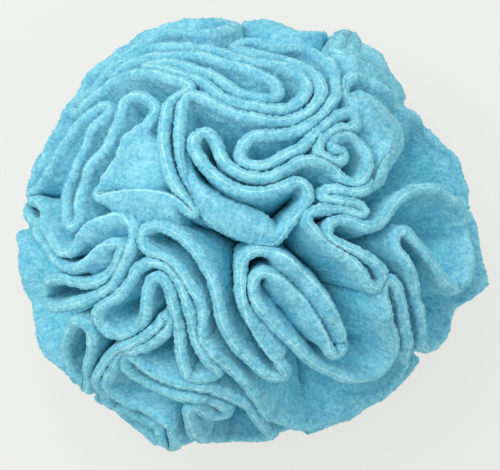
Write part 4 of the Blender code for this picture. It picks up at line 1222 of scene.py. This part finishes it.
class SNUFFLE_BALL_OT_gathered_middle(bpy.types.Operator):
    """Make the tightly packed pleats that close the ball round its tie"""
    bl_idname = "snuffle_ball.gathered_middle"
    bl_label = "Gathered middle"
    bl_options = {"REGISTER", "UNDO"}

    def execute(self, context):
        shape = bmesh.new()
        bmesh.ops.create_icosphere(shape, subdivisions=MIDDLE_SUBDIVISIONS, radius=1.0)
        mesh = bpy.data.meshes.new("gathered_middle")
        shape.to_mesh(mesh)
        shape.free()
        directions = np.array([corner.co for corner in mesh.vertices])
        pleats = 1 + PLEAT_HEIGHT_SHARE * lumps(directions, PLEAT_PITCH_SHARE, LUMP_SEED)
        points = placed(unit(directions), MIDDLE_SHARE * pleats)
        mesh.vertices.foreach_set("co", points.ravel())
        mesh.shade_smooth()
        mesh.update()
        add_piece(mesh, bpy.data.materials["sky_blue_fleece"])
        return {"FINISHED"}


class SNUFFLE_BALL_OT_cable_tie(bpy.types.Operator):
    """Give the cable tie its nylon"""
    bl_idname = "snuffle_ball.cable_tie"
    bl_label = "Cable tie"
    bl_options = {"REGISTER", "UNDO"}

    def execute(self, context):
        nylon = nylon_material(context.scene.snuffle_ball_look)
        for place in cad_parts["cable_tie"].material_slots:
            place.material = nylon
        return {"FINISHED"}


class SNUFFLE_BALL_OT_stage(bpy.types.Operator):
    """Make the pale floor, the soft light and the camera straight above the ball"""
    bl_idname = "snuffle_ball.stage"
    bl_label = "Stage"
    bl_options = {"REGISTER", "UNDO"}

    def execute(self, context):
        look = context.scene.snuffle_ball_look
        add_floor(look)
        add_light(look)
        add_camera()
        context.scene.view_settings.view_transform = "Standard"
        return {"FINISHED"}


OPERATORS = (
    SNUFFLE_BALL_OT_stage,
    SNUFFLE_BALL_OT_upper_discs,
    SNUFFLE_BALL_OT_under_discs,
    SNUFFLE_BALL_OT_side_belts,
    SNUFFLE_BALL_OT_gathered_middle,
    SNUFFLE_BALL_OT_cable_tie,
)


class SNUFFLE_BALL_PT_sidebar(bpy.types.Panel):
    """The ball's sizes, colours and making"""
    bl_label = "Snuffle ball"
    bl_idname = "SNUFFLE_BALL_PT_sidebar"
    bl_space_type = "VIEW_3D"
    bl_region_type = "UI"
    bl_category = "Snuffle ball"

    def draw(self, context):
        for group in (context.scene.snuffle_ball_sizes, context.scene.snuffle_ball_look):
            box = self.layout.box()
            for name in type(group).__annotations__:
                box.prop(group, name)
        for operator in OPERATORS:
            self.layout.operator(operator.bl_idname)


CLASSES = (SnuffleBallSizes, SnuffleBallLook, *OPERATORS, SNUFFLE_BALL_PT_sidebar)


def register():
    """Register the classes and hang the settings on the scene."""
    for made in CLASSES:
        bpy.utils.register_class(made)
    bpy.types.Scene.snuffle_ball_sizes = bpy.props.PointerProperty(type=SnuffleBallSizes)
    bpy.types.Scene.snuffle_ball_look = bpy.props.PointerProperty(type=SnuffleBallLook)


def unregister():
    """Take the settings off the scene and unregister the classes."""
    del bpy.types.Scene.snuffle_ball_look
    del bpy.types.Scene.snuffle_ball_sizes
    for made in reversed(CLASSES):
        bpy.utils.unregister_class(made)


def dress_ball():
    """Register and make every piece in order."""
    register()
    bpy.ops.snuffle_ball.stage()
    bpy.ops.snuffle_ball.upper_discs()
    bpy.ops.snuffle_ball.under_discs()
    bpy.ops.snuffle_ball.side_belts()
    bpy.ops.snuffle_ball.gathered_middle()
    bpy.ops.snuffle_ball.cable_tie()


if __name__ == "__main__":
    dress_ball()
